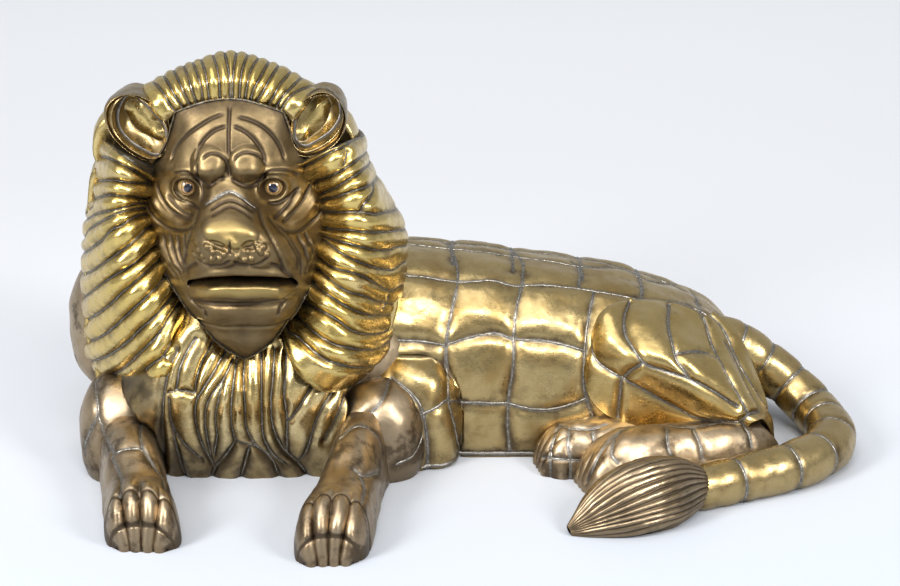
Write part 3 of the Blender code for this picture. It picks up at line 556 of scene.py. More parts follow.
def join(name: str, parts: list[tuple[Array, list]], values: dict[str, Array], material: Material) -> Piece:
    """One brass or solder piece from the points and faces of its parts."""
    faces, start = [], 0
    for points, quads in parts:
        faces += [[start + i for i in quad] for quad in quads]
        start += len(points)
    piece = build_mesh(name, np.concatenate([points for points, _ in parts]), faces, values)
    return dress(piece, material, "aged_brass", "lion")


def brass_piece(name: str, skins: list[Skin], material: Material) -> Piece:
    """One brass piece from one or more settled skins."""
    values = {key: np.concatenate([getattr(skin, key).ravel() for skin in skins]) for key in VALUES}
    return join(name, [(skin.points.reshape(-1, 3), skin.faces()) for skin in skins], values, material)


BEAD_STEP = 0.45        # cm: from one row of a bead to the next
BEAD_LEAST = 1e-6       # cm: a line with a shorter step is left as it is
BEAD_REACH = 3.0        # cm: a bead further than this from its sheet is left out
SKIN_SEEDS = 31         # draws kept for the beads of one sheet
BEAD_PROFILE = ((-1.0, -0.35), (-0.72, 0.45), (-0.28, 0.95), (0.28, 0.95), (0.72, 0.45), (1.0, -0.35))


def bead_strip(line: Array, tree: BVHTree, half: float, high: float, seed: int) -> tuple[Array, list]:
    """Raised solder bead along a line on a surface.

    Args:
        line: points along the joint.
        tree: search tree of the surface.
        half: half width in centimetres.
        high: height in centimetres.
        seed: which irregular run of widths.

    Returns:
        Points and faces of the bead.
    """
    found = [tree.find_nearest(Vector(p), BEAD_REACH) for p in line]
    spots = [(np.array(f[0]), np.array(f[1])) for f in found if f[0] is not None]
    if len(spots) < 2:
        return np.zeros((0, 3)), []
    middle, up = (np.array(x) for x in zip(*spots))
    run = unit(np.gradient(middle, axis=0))
    up = np.array([up[max(0, i - 2):i + 3].mean(axis=0) for i in range(len(up))])
    side = unit(np.cross(run, up))
    uneven = 1 + 0.28 * waves(middle, 2.2, seed) + 0.15 * waves(middle, 0.9, seed + 1)
    at = np.arange(len(middle))
    ends = np.minimum(1, np.minimum(at + 0.3, len(middle) - 0.7 - at) / 2)
    wide = (half * uneven * ends)[:, None]
    rows = [middle + side * wide * a + up * high * b * (0.8 + 0.2 * uneven)[:, None]
            for a, b in BEAD_PROFILE]
    grid = np.stack(rows, axis=1)
    count, across = grid.shape[:2]
    faces = [(i * across + j, i * across + j + 1, (i + 1) * across + j + 1, (i + 1) * across + j)
             for i in range(count - 1) for j in range(across - 1)]
    return grid.reshape(-1, 3), faces


def bead_piece(name: str, skins: list[Skin], material: Material, half: float, high: float) -> Piece:
    """Solder beads along every seam line of some skins.

    Args:
        name: the piece's name.
        skins: the sheets, with their lines.
        material: its finish.
        half: half width of a bead in centimetres.
        high: height of a bead in centimetres.

    Returns:
        The dressed piece.
    """
    strips = []
    for number, skin in enumerate(skins):
        tree = skin.tree()
        for index, line in enumerate(skin.lines):
            size = lengths(line)
            if np.all(np.diff(size) > BEAD_LEAST):
                count = max(3, int(size[-1] / BEAD_STEP))
                line = smooth(size, line, np.linspace(0, size[-1], count))
            strips.append(bead_strip(line, tree, half, high, SKIN_SEEDS * number + index))
    return join(name, strips, {}, material)


class Graph:
    """Short way of writing the nodes of a material."""

    def __init__(self, name: str) -> None:
        """Start a material with a Principled shader."""
        self.material = bpy.data.materials.new(name)
        self.material.use_nodes = True
        self.tree = self.material.node_tree
        self.shader = self.tree.nodes["Principled BSDF"]

    def node(self, kind: str, **settings: object) -> bpy.types.Node:
        """New node with some of its own settings."""
        made = self.tree.nodes.new(kind)
        for key, value in settings.items():
            setattr(made, key, value)
        return made

    def feed(self, socket: Socket, value: object) -> None:
        """Link a socket or set its plain value."""
        if isinstance(value, Socket):
            self.tree.links.new(value, socket)
        else:
            socket.default_value = value

    def attribute(self, name: str) -> Socket:
        """A number stored on the mesh."""
        return self.node("ShaderNodeAttribute", attribute_name=name).outputs["Fac"]

    def noise(self, scale: float, detail: float = 3.0, rough: float = 0.55,
              stretch: Triple = (1, 1, 1)) -> Socket:
        """Noise over the object's own coordinates; the scale is in waves per metre."""
        mapping = self.node("ShaderNodeMapping")
        self.feed(mapping.inputs["Vector"], self.node("ShaderNodeTexCoord").outputs["Object"])
        self.feed(mapping.inputs["Scale"], stretch)
        texture = self.node("ShaderNodeTexNoise")
        values = {"Vector": mapping.outputs[0], "Scale": scale, "Detail": detail, "Roughness": rough}
        for name, value in values.items():
            self.feed(texture.inputs[name], value)
        return texture.outputs["Fac"]

    def axis(self, name: str) -> Socket:
        """Place along one axis of the frame, in metres; Z is the height above the floor."""
        apart = self.node("ShaderNodeSeparateXYZ")
        self.feed(apart.inputs[0], self.node("ShaderNodeTexCoord").outputs["Object"])
        return apart.outputs[name]

    def calculate(self, kind: str, a: object, b: object) -> Socket:
        """Math node of two numbers."""
        made = self.node("ShaderNodeMath", operation=kind)
        self.feed(made.inputs[0], a)
        self.feed(made.inputs[1], b)
        return made.outputs[0]

    def add(self, first: object, *others: object) -> Socket:
        """Sum of some numbers."""
        for other in others:
            first = self.calculate("ADD", first, other)
        return first

    def times(self, a: object, b: object) -> Socket:
        """Product of two numbers."""
        return self.calculate("MULTIPLY", a, b)

    def span(self, value: object, low: float, high: float, first: float = 0.0, last: float = 1.0) -> Socket:
        """Smooth change from first to last as a value goes from low to high."""
        made = self.node("ShaderNodeMapRange", interpolation_type="SMOOTHSTEP")
        for socket, number in zip(made.inputs[:5], (value, low, high, first, last)):
            self.feed(socket, number)
        return made.outputs[0]

    def blend(self, share: object, first: object, second: object) -> Socket:
        """Colour between two colours."""
        made = self.node("ShaderNodeMix", data_type="RGBA")
        self.feed(made.inputs[0], share)
        self.feed(made.inputs[6], first)
        self.feed(made.inputs[7], second)
        return made.outputs[2]

    def bump(self, height: object, depth: float, under: object = None) -> Socket:
        """Fine relief in the shading; the depth is in metres."""
        made = self.node("ShaderNodeBump")
        made.inputs["Distance"].default_value = depth
        self.feed(made.inputs["Height"], height)
        if under is not None:
            self.feed(made.inputs["Normal"], under)
        return made.outputs[0]

    def finish(self, inputs: dict[str, object]) -> Material:
        """Set inputs of the shader and hand over the material."""
        for name, value in inputs.items():
            self.feed(self.shader.inputs[name], value)
        return self.material


def rgba(colour: Triple) -> tuple[float, float, float, float]:
    """Opaque colour."""
    return (*colour, 1.0)


@dataclass(frozen=True)
class BrassFinish:
    """Aged sheet brass: polished fields, brown patina in the hollows, painted shade low down and on some
    hidden parts, and grey solder in the joints.
    """

    name: str
    bright: Triple = (0.40, 0.30, 0.13)
    warm: Triple = (0.31, 0.20, 0.075)
    gilt: Triple = (0.58, 0.40, 0.085)
    patina_and_shade: Triple = (0.070, 0.050, 0.032)
    solder: Triple = (0.24, 0.225, 0.20)
    solder_half: float = 0.34
    smooth_rough: float = 0.25
    dull_rough: float = 0.42
    clouds: float = 0.55
    shade: float = 1.0
    stain: float = 0.30

    def make(self) -> Material:
        """Build the material."""
        g = Graph(self.name)
        seam, tone, dirt_and_shade, gold = (g.attribute(key) for key in VALUES)
        cloud, blotch = g.noise(11.0, 4.0, 0.6), g.noise(46.0, 4.0, 0.62)
        fine, scratch = g.noise(310.0, 3.0, 0.7), g.noise(120.0, 2.0, 0.6, (1.0, 0.22, 3.0))
        warmth = g.add(g.span(cloud, 0.36, 0.66, 0.0, self.clouds), g.span(tone, 0.0, 1.0, -0.12, 0.18),
                       g.span(blotch, 0.42, 0.72, -0.05, 0.22))
        plain = g.blend(g.span(warmth, 0.0, 1.0), rgba(self.bright), rgba(self.warm))
        rich = g.blend(g.span(gold, 0.5, 1.0, 0.0, 1.0), plain, rgba(self.gilt))
        edge = g.times(g.span(seam, 0.35, 2.4, 1.0, 0.0), g.span(blotch, 0.30, 0.62, 0.25, 0.75))
        # Darkening towards the patina colour: brown patina in hollows, beside seams and where the brass is
        # less golden, stains, the painted shade that a sheet carries, and painted shade over the lowest 0.16
        # m, for the dim floor that low surfaces reflect.
        aged_and_shaded = g.add(g.times(dirt_and_shade, 0.95 * self.shade), g.times(edge, 0.5 * self.shade),
                     g.span(gold, 0.0, 0.5, 0.45, 0.0), g.span(fine, 0.66, 0.80, 0.0, 0.25),
                     g.span(g.noise(17.0, 5.0, 0.66), 0.50, 0.70, 0.0, self.stain),
                     g.span(g.axis("Z"), 0.0, 0.16, 0.30, 0.0))
        colour = g.blend(g.span(aged_and_shaded, 0.02, 1.05, 0.0, 0.93), rich, rgba(self.patina_and_shade))
        frayed = g.add(seam, g.span(blotch, 0.2, 0.8, -0.14, 0.14))
        joint = g.span(frayed, self.solder_half * 0.75, self.solder_half * 1.35, 1.0, 0.0)
        shadow = rgba(tuple(c * 0.55 for c in self.solder))
        tin = g.blend(g.span(fine, 0.35, 0.65), rgba(self.solder), shadow)
        worn = g.span(g.add(blotch, g.times(aged_and_shaded, 0.35)), 0.38, 0.95, self.smooth_rough, self.dull_rough)
        rough = g.add(worn, g.times(joint, 0.10), g.span(scratch, 0.4, 0.75, 0.0, 0.06))
        marked = g.bump(scratch, 0.00016, g.bump(g.noise(27.0, 2.0, 0.5), 0.0016))
        return g.finish({"Base Color": g.blend(joint, colour, tin), "Metallic": 1.0, "Roughness": rough,
                         "Normal": g.bump(fine, 0.00010, marked)})


@dataclass(frozen=True)
class SolderFinish:
    """Soft grey solder with bright worn tops."""

    name: str = "soft_solder"
    light: Triple = (0.36, 0.335, 0.29)
    dark: Triple = (0.13, 0.115, 0.095)

    def make(self) -> Material:
        """Build the material."""
        g = Graph(self.name)
        mottle = g.noise(150.0, 4.0, 0.65)
        colour = g.blend(g.span(mottle, 0.36, 0.66), rgba(self.dark), rgba(self.light))
        return g.finish({"Base Color": colour, "Metallic": 1.0,
                         "Roughness": g.span(mottle, 0.3, 0.7, 0.48, 0.32),
                         "Normal": g.bump(g.noise(260.0, 2.0), 0.0004)})


@dataclass(frozen=True)
class EyeFinish:
    """Glass eye: dark pupil, brown-amber iris with a dark rim, under clear glass."""

    name: str = "eye_glass"
    pupil: Triple = (0.004, 0.006, 0.016)
    dark_iris: Triple = (0.16, 0.075, 0.022)
    light_iris: Triple = (0.42, 0.26, 0.10)
    ring: Triple = (0.035, 0.02, 0.01)
    white: Triple = (0.30, 0.19, 0.075)

    def make(self) -> Material:
        """Build the material; the mesh stores the distance from the pupil's middle, in centimetres."""
        g = Graph(self.name)
        off = g.attribute("off")
        fleck = g.span(g.noise(420.0, 4.0, 0.7), 0.35, 0.65)
        colour = g.blend(fleck, rgba(self.dark_iris), rgba(self.light_iris))
        colour = g.blend(g.span(off, 1.34, 1.46), colour, rgba(self.ring))
        colour = g.blend(g.span(off, 1.50, 1.60), colour, rgba(self.white))
        colour = g.blend(g.span(off, 0.86, 0.98), rgba(self.pupil), colour)
        return g.finish({"Base Color": colour, "Roughness": 0.06, "IOR": 1.5, "Coat Weight": 1.0,
                         "Coat Roughness": 0.02})


@dataclass(frozen=True)
class Mound:
    """Soft mound on both sides of the face, or a hollow where its rise is below 0."""

    side: float
    z: float
    wide: float
    tall: float
    rise: float

    def at(self, side: Array, z: Array) -> Array:
        """Its height at places to the side and up."""
        return self.rise * bump(side - self.side, self.wide) * bump(z - self.z, self.tall)


@dataclass
class Face:
    """Front panel of the head, from the hair line to the beard point.

    Sizes are in centimetres: v_keys are shares of its height, with its half width and how far its
    edge stands forward at each; skull and muzzle stand forward as far as given at their heights.
    """

    low: float = 28.6
    tall: float = 52.8
    sway: float = 3.0
    edge_sway: float = 0.4
    sway_top: float = 63.5
    sway_run: float = 11.5
    sway_deep: tuple = (9.0, 12.0)
    columns: int = 201
    rows: int = 261
    v_keys: tuple = (0.0, 0.14, 0.28, 0.43, 0.60, 0.72, 0.815, 1.0)
    half: tuple = (7.6, 11.9, 15.0, 18.0, 19.2, 16.4, 13.6, 10.5)
    edge: tuple = (10.5, 9.0, 8.0, 7.0, 6.0, 6.0, 6.5, 7.5)
    skull_z: tuple = (28.6, 33, 40, 48, 55, 62, 66, 70, 75, 79, 81.4)
    skull: tuple = (12, 13.5, 13.5, 13, 13, 13.2, 14.2, 14.4, 12.9, 10.2, 7.5)
    muzzle_z: tuple = (28.6, 33, 37, 38, 41, 43.6, 47.2, 50, 54, 58, 60, 62, 64, 66.5, 70, 75, 79, 81.4)
    muzzle: tuple = (12, 15.5, 17.3, 18.6, 20.5, 21, 22, 22.6, 24, 24.3, 23.8, 21.6, 18.2, 15.6, 14.4,
                     12.9, 10.2, 7.5)
    muzzle_wide: tuple = (4, 7, 9, 10, 12, 13.4, 13.6, 12.4, 10.6, 8.8, 7.4, 6.2, 5, 4, 3.4, 3.4, 3.4, 3.4)
    lip_x: tuple = (0.0, 4.0, 7.0, 9.5, 11.6, 13.5, 20.0)
    lip_z: tuple = (LIP_TOP, 49.6, 49.0, 47.9, 46.3, 45.4, 45.0)
    whisker: tuple[float, float] = (0.60, 0.50)
    collar: tuple = ((0.985, 0.7), (0.965, 2.2), (0.93, 5.5))

    CORE = (FACE_X, 0.0, 55.0)
    EYE_HOLLOW = Mound(7.6, 64.4, 2.8, 2.7, -2.3)
    CHEEK_BONE = Mound(11.5, 57.5, 4.0, 4.2, 1.6)
    NOSE_SIDE = Mound(2.9, 64.6, 1.5, 1.6, 0.7)

    SEAMS = [
        [(205.8, 203.7), (216.1, 197.7), (229, 191.6), (242, 196.8), (255.8, 207.1)]]
    CREASES = [
        [(229.9, 104), (229, 117.6), (228.5, 134.8), (228.5, 158.9)],
        [(200.5, 203), (196.5, 216), (192, 228), (186.5, 246), (184, 262), (184.5, 276)],
        [(258, 206), (262, 220), (270, 236), (278, 252), (284, 268), (292, 280)],
        [(226.5, 112.4), (211, 118.4), (197.2, 127), (185.1, 136.5), (176.5, 146.8), (171.3, 158.9),
         (169.6, 164)],
        [(235.1, 115.8), (250.6, 120.1), (266.1, 128.8), (276.4, 140), (283.3, 153.7), (285, 162.4)],
        [(228.2, 125.3), (214.4, 130.5), (202.4, 141.7), (196.3, 153.7), (195.5, 162.4)],
        [(231.6, 125.3), (243.7, 130.5), (255.8, 141.7), (263.5, 153.7), (266.1, 165.8)],
        [(200.6, 160), (210, 153.6), (220, 154.5), (226.4, 161), (228.6, 170), (229, 180)],
        [(232, 161), (238, 154.5), (249, 152), (260, 156), (266.5, 166)],
        [(195.5, 162.4), (197, 174), (202, 182), (208.4, 186), (218, 179.5), (229, 177.5)],
        [(229, 177.5), (240.2, 184.2), (250, 186.5), (258, 183), (266, 173)],
        [(208.4, 211), (219.6, 203.5), (229.9, 200.2), (243.7, 205), (257.5, 214)],
        [(210, 217.5), (221, 209.5), (230, 206.4), (242, 210.5), (254, 219)],
        [(171.3, 174.4), (181.7, 172.2), (190.3, 173.8), (198, 180.5), (201.8, 190), (201, 203.7)],
        [(173, 187.5), (181.7, 197.8), (190, 203.4), (198.9, 208.9)],
        [(258.3, 195), (260.3, 181.3), (267.8, 172.8), (279.9, 169.4), (291.9, 171.8), (300.5, 177)],
        [(266.1, 201.3), (276.4, 203), (290.2, 196), (300.5, 187)],
        [(155.8, 181), (161, 198), (172, 210.8), (184, 217.5), (192, 219.5)],
        [(144.8, 194), (149, 210.6), (159.3, 222.6), (173, 230), (187, 229), (196, 221), (200, 212)],
        [(166.8, 193), (177.2, 206), (188.6, 214.8), (194.5, 215.4)],
        [(311.5, 181), (305, 197), (294, 211), (282, 223)],
        [(325.8, 193), (321.5, 210), (309.6, 224.4), (296, 231.6), (281, 227), (273, 219)],
        [(297, 187), (287, 205), (273.5, 219)], [(156.6, 234), (160, 248), (167.5, 264), (178, 279)],
        [(163, 233), (167, 250), (173.5, 265), (181, 277)],
        [(170, 233), (172.8, 250), (178.5, 265), (184, 274)],
        [(177, 233), (179, 248), (183, 262), (187, 270)], [(184.5, 233), (184.6, 246), (187, 258)],
        [(296, 233), (303, 247), (306.5, 262), (305.5, 276)], [(304, 231), (310, 244), (312.5, 256)],
        [(288, 234), (297, 250), (301.5, 266), (301, 278)],
        [(266, 214), (276, 226), (287, 240), (295.5, 256), (299, 272)], [(229.2, 240), (229.2, 256)],
        [(231.6, 259.7), (224, 264.6), (214, 266), (204, 264), (196, 258)],
        [(231.6, 259.7), (239, 264), (250, 265.5), (262, 262.8), (270, 256)],
        [(184.5, 273.5), (190, 266.5), (198, 263.5)], [(268, 263), (281, 268), (292, 275.5), (298, 280.5)],
        [(183.4, 289), (190.3, 298.6), (205, 302.6), (233.4, 304), (262, 302.6), (284, 298.4), (296, 290.6)],
        [(188, 297), (196, 306), (204, 311), (206, 318)], [(287, 299), (281, 307), (278, 316)]]
    FOLDS = [
        [(150, 190), (157, 207), (170, 219), (184, 223.6)],
        [(162, 190), (171, 203), (184, 212.4), (191, 214)],
        [(318, 190), (311, 207), (299, 219), (286, 224.5)], [(304, 188), (294, 204), (282, 217)],
        [(281, 230), (292, 247), (299, 264)], [(176, 240), (179, 256), (184, 268)],
        [(168, 240), (171, 255), (178, 270)], [(160, 238), (164, 254), (171, 268)],
        [(309, 238), (312, 252), (309, 268)], [(301, 238), (307, 254), (304, 270)]]
    WHISKERS = [
        (206.7, 246.8), (212.7, 251.9), (194.6, 254.5), (202.4, 255.7), (204.9, 260.6), (198.5, 249.5),
        (219.5, 258.5), (223.8, 254.6), (212, 258.9), (255.8, 244.2), (263.5, 246.8), (248, 251),
        (267, 254.5), (251.4, 258.8), (258.5, 249.6), (244.6, 259.7), (237.6, 256.2), (261, 252.8)]

    def mouth_line(self, x: Array) -> Array:
        """Height of the upper lip's edge across the face."""
        return smooth(self.lip_x, self.lip_z, np.abs(x))

    def depth(self, x: Array, z: Array) -> Array:
        """How far the face stands forward.

        Args:
            x: places across, from the middle.
            z: heights.

        Returns:
            Distance in front of the middle of the head.
        """
        v = (z - self.low) / self.tall
        half = smooth(self.v_keys, self.half, clip(v))
        edge = smooth(self.v_keys, self.edge, clip(v))
        side = np.abs(x)
        q = clip(side / half)
        skull = smooth(self.skull_z, self.skull, z)
        depth = edge + (skull - edge) * (1 - q**2.6)
        front = smooth(self.muzzle_z, self.muzzle, z)
        wide = smooth(self.muzzle_z, self.muzzle_wide, z)
        steep = 5.0 + 3.0 * bump(z - 60, 6)
        depth += (front - skull) * (1 - q**6) / (1 + (side / wide) ** steep)
        depth += self._brow(side, z) + self._muzzle(side, z) + self._mouth(x, side, z, q)
        return depth

    def aside(self, depth: Array, z: Array) -> Array:
        """How far a place of the face lies to the side, more the further it stands forward."""
        down = 1 - ease(z, self.sway_top - self.sway_run, self.sway_top)
        forward = clip((depth - self.sway_deep[0]) / self.sway_deep[1])
        return self.sway * down * (self.edge_sway + (1 - self.edge_sway) * forward)

    def _brow(self, side: Array, z: Array) -> Array:
        """Two dimpled bosses over the nose, ridges over the eyes and the eye hollows."""
        boss = np.hypot(side - 3.7, z - 70.2)
        rise = 2.2 * clip(1 - (boss / 3.7) ** 2) ** 0.9
        rise -= 0.35 * bump(np.hypot(side - 3.5, z - 70.9), 1.3)
        rise += 1.5 * bump(z - 68.3 + 0.12 * (side - 9), 1.3) * bump(side - 9.5, 4.2)
        rise += self.EYE_HOLLOW.at(side, z)
        lid = np.hypot((side - EYE_X) / 1.18, z - EYE_Z)
        rise += 1.0 * bump(lid - 2.35, 0.45)
        rise += self.CHEEK_BONE.at(side, z)
        rise += self.NOSE_SIDE.at(side, z)
        return rise

    def _muzzle(self, side: Array, z: Array) -> Array:
        """Nose pad with comma nostrils, and the whisker pads."""
        pad = np.hypot(side / 5.6, (z - 59.4) / 3.2)
        rise = 1.0 * clip(1 - pad**4) ** 0.8
        rise += 0.7 * (bump(side, 1.25) * ease(z, 52.6, 54.2) * (1 - ease(z, 57.5, 59.5)))
        nostril = np.hypot((side - 2.9) / 1.5, (z - 56.9 - 0.25 * (side - 2.9)) / 1.0)
        rise -= 0.8 * clip(1.25 - nostril**2)
        puff = np.hypot((side - 4.3) / 4.2, (z - 54.7) / 2.9)
        rise += 1.05 * clip(1 - puff**2) ** 0.6
        return rise

    def _mouth(self, x: Array, side: Array, z: Array, q: Array) -> Array:
        """Lip edge, dark slit, rolled lower lip, fold and chin."""
        inside = 1 - clip((side - 9.6) / 1.4)
        below = self.mouth_line(x) - z
        rise = 0.8 * bump(below + 1.0, 1.0) * inside
        rise -= 4.2 * bump(below - 0.62, 0.60) * clip(inside * 1.5)
        roll = clip(1 - ((below - 3.1 * (1 - 0.45 * q)) / 2.1) ** 2)
        rise += 1.9 * np.sqrt(roll) * clip((10.0 - side) / 3.0)
        rise -= 0.6 * bump(z - 43.4 + 0.06 * side, 0.8) * inside
        rise -= 0.9 * bump(z - 37.6 + 0.05 * side, 0.6) * clip((10.5 - side) / 2.0)
        return rise

    def skin(self) -> Skin:
        """The panel with its folds, before its edge is turned back."""
        u, v = np.meshgrid(np.linspace(-1, 1, self.columns), np.linspace(0, 1, self.rows))
        x = u * smooth(self.v_keys, self.half, v)
        low = self.low + 6.6 * np.abs(u) ** 1.2
        z = low + (self.low + self.tall - 2.6 * u * u - low) * v
        z += (self.mouth_line(x) - LIP_TOP) * bump(z - 47.0, 6.5) * clip(1.35 - np.abs(u))
        depth = self.depth(x, z)
        skin = Skin(np.stack([x + FACE_X + self.aside(depth, z), -depth, z], axis=2), (FACE_X, 10, 55))
        skin.work(Kind.CREASE, 0.34, -0.42, self.CREASES, 0.12)
        skin.work(Kind.RIDGE, 0.85, 0.50, self.FOLDS, 0.25)
        skin.work(Kind.SEAM, 0.45, -0.25, self.SEAMS)
        tree, (half, high) = skin.tree(), self.whisker
        for pixel in self.WHISKERS:
            spot = np.array(tree.ray_cast(*VIEW.ray(pixel))[0])
            gap = np.linalg.norm(skin.points - spot, axis=2)
            skin.height += high * clip(1 - (gap / half) ** 2) ** 0.5
        skin.hammer(0.07, 5.0, 11)
        skin.gold = self._gold(x, z)
        border = np.minimum(np.minimum(u + 1, 1 - u) * 15, np.minimum(v, 1 - v) * 50)
        skin.seam = np.minimum(skin.seam, border + 0.25)
        return skin.settle()

    def _gold(self, x: Array, z: Array) -> Array:
        """Where the face shines golden: nose pad, lower lip, bosses and cheek folds."""
        side = np.abs(x)
        pad = np.hypot(side / 5.4, (z - 58.9) / 2.9)
        below = self.mouth_line(x) - z
        shine = 0.26 - 0.25 * ease(z, 70.0, 74.5) + 0.50 * (1 - ease(pad, 0.8, 1.15))
        shine += 0.35 * bump(side, 1.2) * bump(z - 56.0, 2.4)
        shine += 0.72 * bump(below - 2.9, 1.7) * (1 - ease(side, 8.5, 11.0))
        shine += (0.30 * bump(np.hypot(side - 4, z - 69.5), 3.4)
                  + 0.26 * bump(np.hypot(side - 12, z - 59), 4.5))
        return clip(shine)

    def rim(self, skin: Skin) -> Array:
        """Closed line round the panel's edge."""
        p = skin.points
        return np.concatenate([p[0, :], p[1:, -1], p[-1, -2::-1], p[-2:0:-1, 0], p[:1, 0]])

    def build(self, brass: Material, solder: Material) -> None:
        """Make the face, its turned-back edge and the solder round it."""
        skin = self.skin()
        rim = self.rim(skin)
        middle = np.array(self.CORE)
        rows = [rim]
        for share, back in self.collar:
            ring = middle + (rim - middle) * share
            ring[:, 1] = rim[:, 1] + back
            rows.append(ring)
        collar = Skin(np.array(rows), self.CORE)
        collar.gold[:] = 0.1
        collar.settle()
        brass_piece("face_panel", [skin, collar], brass)
        edge = Skin(np.array(rows[:2]), self.CORE)
        edge.lines = [rim[::3]]
        bead_piece("face_solder", [edge], solder, 0.40, 0.32)
        bead_piece("face_seams", [skin], solder, 0.18, 0.11)


@dataclass
class Eyes:
    """Glass eyes in their sockets, turned a little towards the viewer."""

    radius: float = 1.95
    rings: int = 40
    around: int = 80

    def build(self, material: Material) -> None:
        """Make both balls where they were packed."""
        for side, name in ((-1, "eye_right"), (1, "eye_left")):
            centre = np.array([FACE_X + side * EYE_X, -EYE_DEPTH, EYE_Z])
            gaze = unit(np.array([0.12 - 0.10 * side, -1.0, 0.02]))
            skin = ball_skin(tuple(centre), (self.radius,) * 3, 2.0, self.rings, self.around)
            off = np.linalg.norm(skin.points - centre - gaze * self.radius, axis=2)
            piece = build_mesh(name + "_glass", skin.points.reshape(-1, 3), skin.faces(), {"off": off})
            dress(piece, material, "eye_glass", name)


class ManeGuides:
    """Guide curves of the mane, from the face outwards, in centimetres."""

    CHEEK_LEFT = [
        [(15.2, -7, 69.5), (20.1, -13, 72.6), (23.9, -10, 73.4), (26.7, 3, 71.2)],
        [(20.4, -7, 61.4), (23.9, -13, 64.3), (27.9, -10, 64.4), (29.6, 3, 61.7)],
        [(20.7, -7, 58), (25.2, -13, 59.9), (29.6, -10, 59), (33.4, 3, 54.8)],
        [(19.2, -7, 51.7), (23.7, -13, 51.2), (28.5, -10, 47.8), (34.8, 3, 42.4)],
        [(16.8, -7, 44.4), (21.1, -13, 41.9), (26.3, -10, 37.8), (32.4, 3, 32)],
        [(12.6, -8, 33.6), (17.8, -15, 30.9), (23.7, -12.5, 26.9), (28.7, 0, 22.2)],
        [(10.8, -9, 32.6), (12.9, -15, 27.9), (18.3, -13, 21.9), (23.5, -1, 18.2)]]
    CHEEK_LEFT_LOCKS = [3, 1, 3, 3, 3, 1]
    CHEEK_RIGHT = [
        [(-15.5, -7, 66.6), (-17.4, -13, 70.6), (-20.9, -10, 72), (-25.6, 3, 70.8)],
        [(-16.6, -7, 64.5), (-18.6, -13, 66.3), (-22.2, -10, 65.4), (-27.3, 3, 61.2)],
        [(-18.2, -7, 59.7), (-20.1, -13, 61), (-23.8, -10, 58.8), (-29.9, 3, 52.7)],
        [(-16.9, -7, 54.2), (-19.3, -13, 53.5), (-23.9, -10, 49.7), (-30.9, 3, 42.7)],
        [(-14.8, -7, 47.9), (-18.3, -13, 45.5), (-23.3, -10, 40.2), (-31.2, 3, 31.1)],
        [(-12.2, -7, 40.1), (-14.9, -13, 38.7), (-20.5, -10, 32.4), (-30.9, 3, 22.4)],
        [(-10.4, -7, 34), (-13.7, -13, 29.4), (-17.6, -10, 24.7), (-25.6, 3, 16)],
        [(-9.6, -7, 33.6), (-12.1, -13, 25.7), (-14.9, -10, 21.8), (-23.9, 3, 14.6)]]
    CHEEK_RIGHT_LOCKS = [2, 2, 2, 3, 2, 2, 1]
    CROWN = [
        [(-12.4, -7.5, 77), (-14.8, -6, 79.6), (-17, 0.5, 81), (-19.4, 8, 77.4)],
        [(-9.5, -7.5, 79.2), (-11.4, -6.2, 82), (-12.8, 0.5, 83.6), (-14.6, 8, 80.4)],
        [(-4.5, -7.5, 80.8), (-5.9, -6.4, 84.4), (-6.9, 0.5, 86.4), (-8, 8, 83.4)],
        [(1.4, -7.5, 81.8), (1.3, -6.4, 85.8), (1.1, 0.5, 88.5), (0.8, 8, 85.6)],
        [(6.5, -7.5, 80.8), (7.5, -6.4, 84.4), (8.2, 0.5, 86.6), (8.6, 8, 83.8)],
        [(11.7, -7.5, 79.4), (12.8, -6.2, 82), (13.8, 0.5, 83.8), (14.8, 8, 80.8)],
        [(14, -7.5, 77), (16.2, -6, 79.4), (18, 0.5, 80.6), (20.4, 8, 77.6)]]
    CROWN_LOCKS = [2, 3, 3, 3, 3, 2]
    BIB = [
        [(-21.9, -7, 19.6), (-19.8, -12, 17.6), (-17.7, -12, 13.7), (-16.2, -9, 9.4), (-14.1, -5.6, 2.5)],
        [(-9.1, -9, 33.9), (-11.8, -13, 27.5), (-13.3, -14, 19.1), (-13.9, -11, 10.4), (-12.5, -6.4, 1.6)],
        [(-3.4, -9, 30.2), (-6.2, -13, 25.3), (-6.7, -14, 19.1), (-5.9, -11, 10.4), (-4.8, -6.4, 0.4)],
        [(1.6, -9, 27.4), (1, -13, 23.1), (0.5, -14, 18), (-0.1, -11, 10.4), (-0.6, -6.4, -0.3)],
        [(6.2, -9, 29.8), (6.3, -13, 24.2), (6.2, -14, 18), (7.1, -11, 10.4), (9, -6.4, 0.6)],
        [(10.9, -7, 31), (12.3, -11, 25.8), (14.9, -12, 20.3), (16.2, -10.6, 12.8), (15.4, -6.2, 2.2)],
        [(21.5, -2, 25), (22, -5, 20.4), (22.4, -7.5, 16), (21.4, -8, 10.5), (19.8, -7, 3.4)]]
    BIB_LOCKS = [1, 2, 2, 2, 2, 2]
    NAPE = [
        (22, 13), (28.5, 23), (32.8, 35), (33.5, 46), (31.3, 56), (26.4, 65.5), (23.2, 75), (17, 80.2),
        (9, 84.2), (0.6, 86.2), (-8.4, 83.8), (-16.5, 80.6), (-25.2, 75.4), (-27.6, 65.5), (-28.9, 53),
        (-30, 42), (-30.6, 30), (-29.4, 20), (-24, 11)]


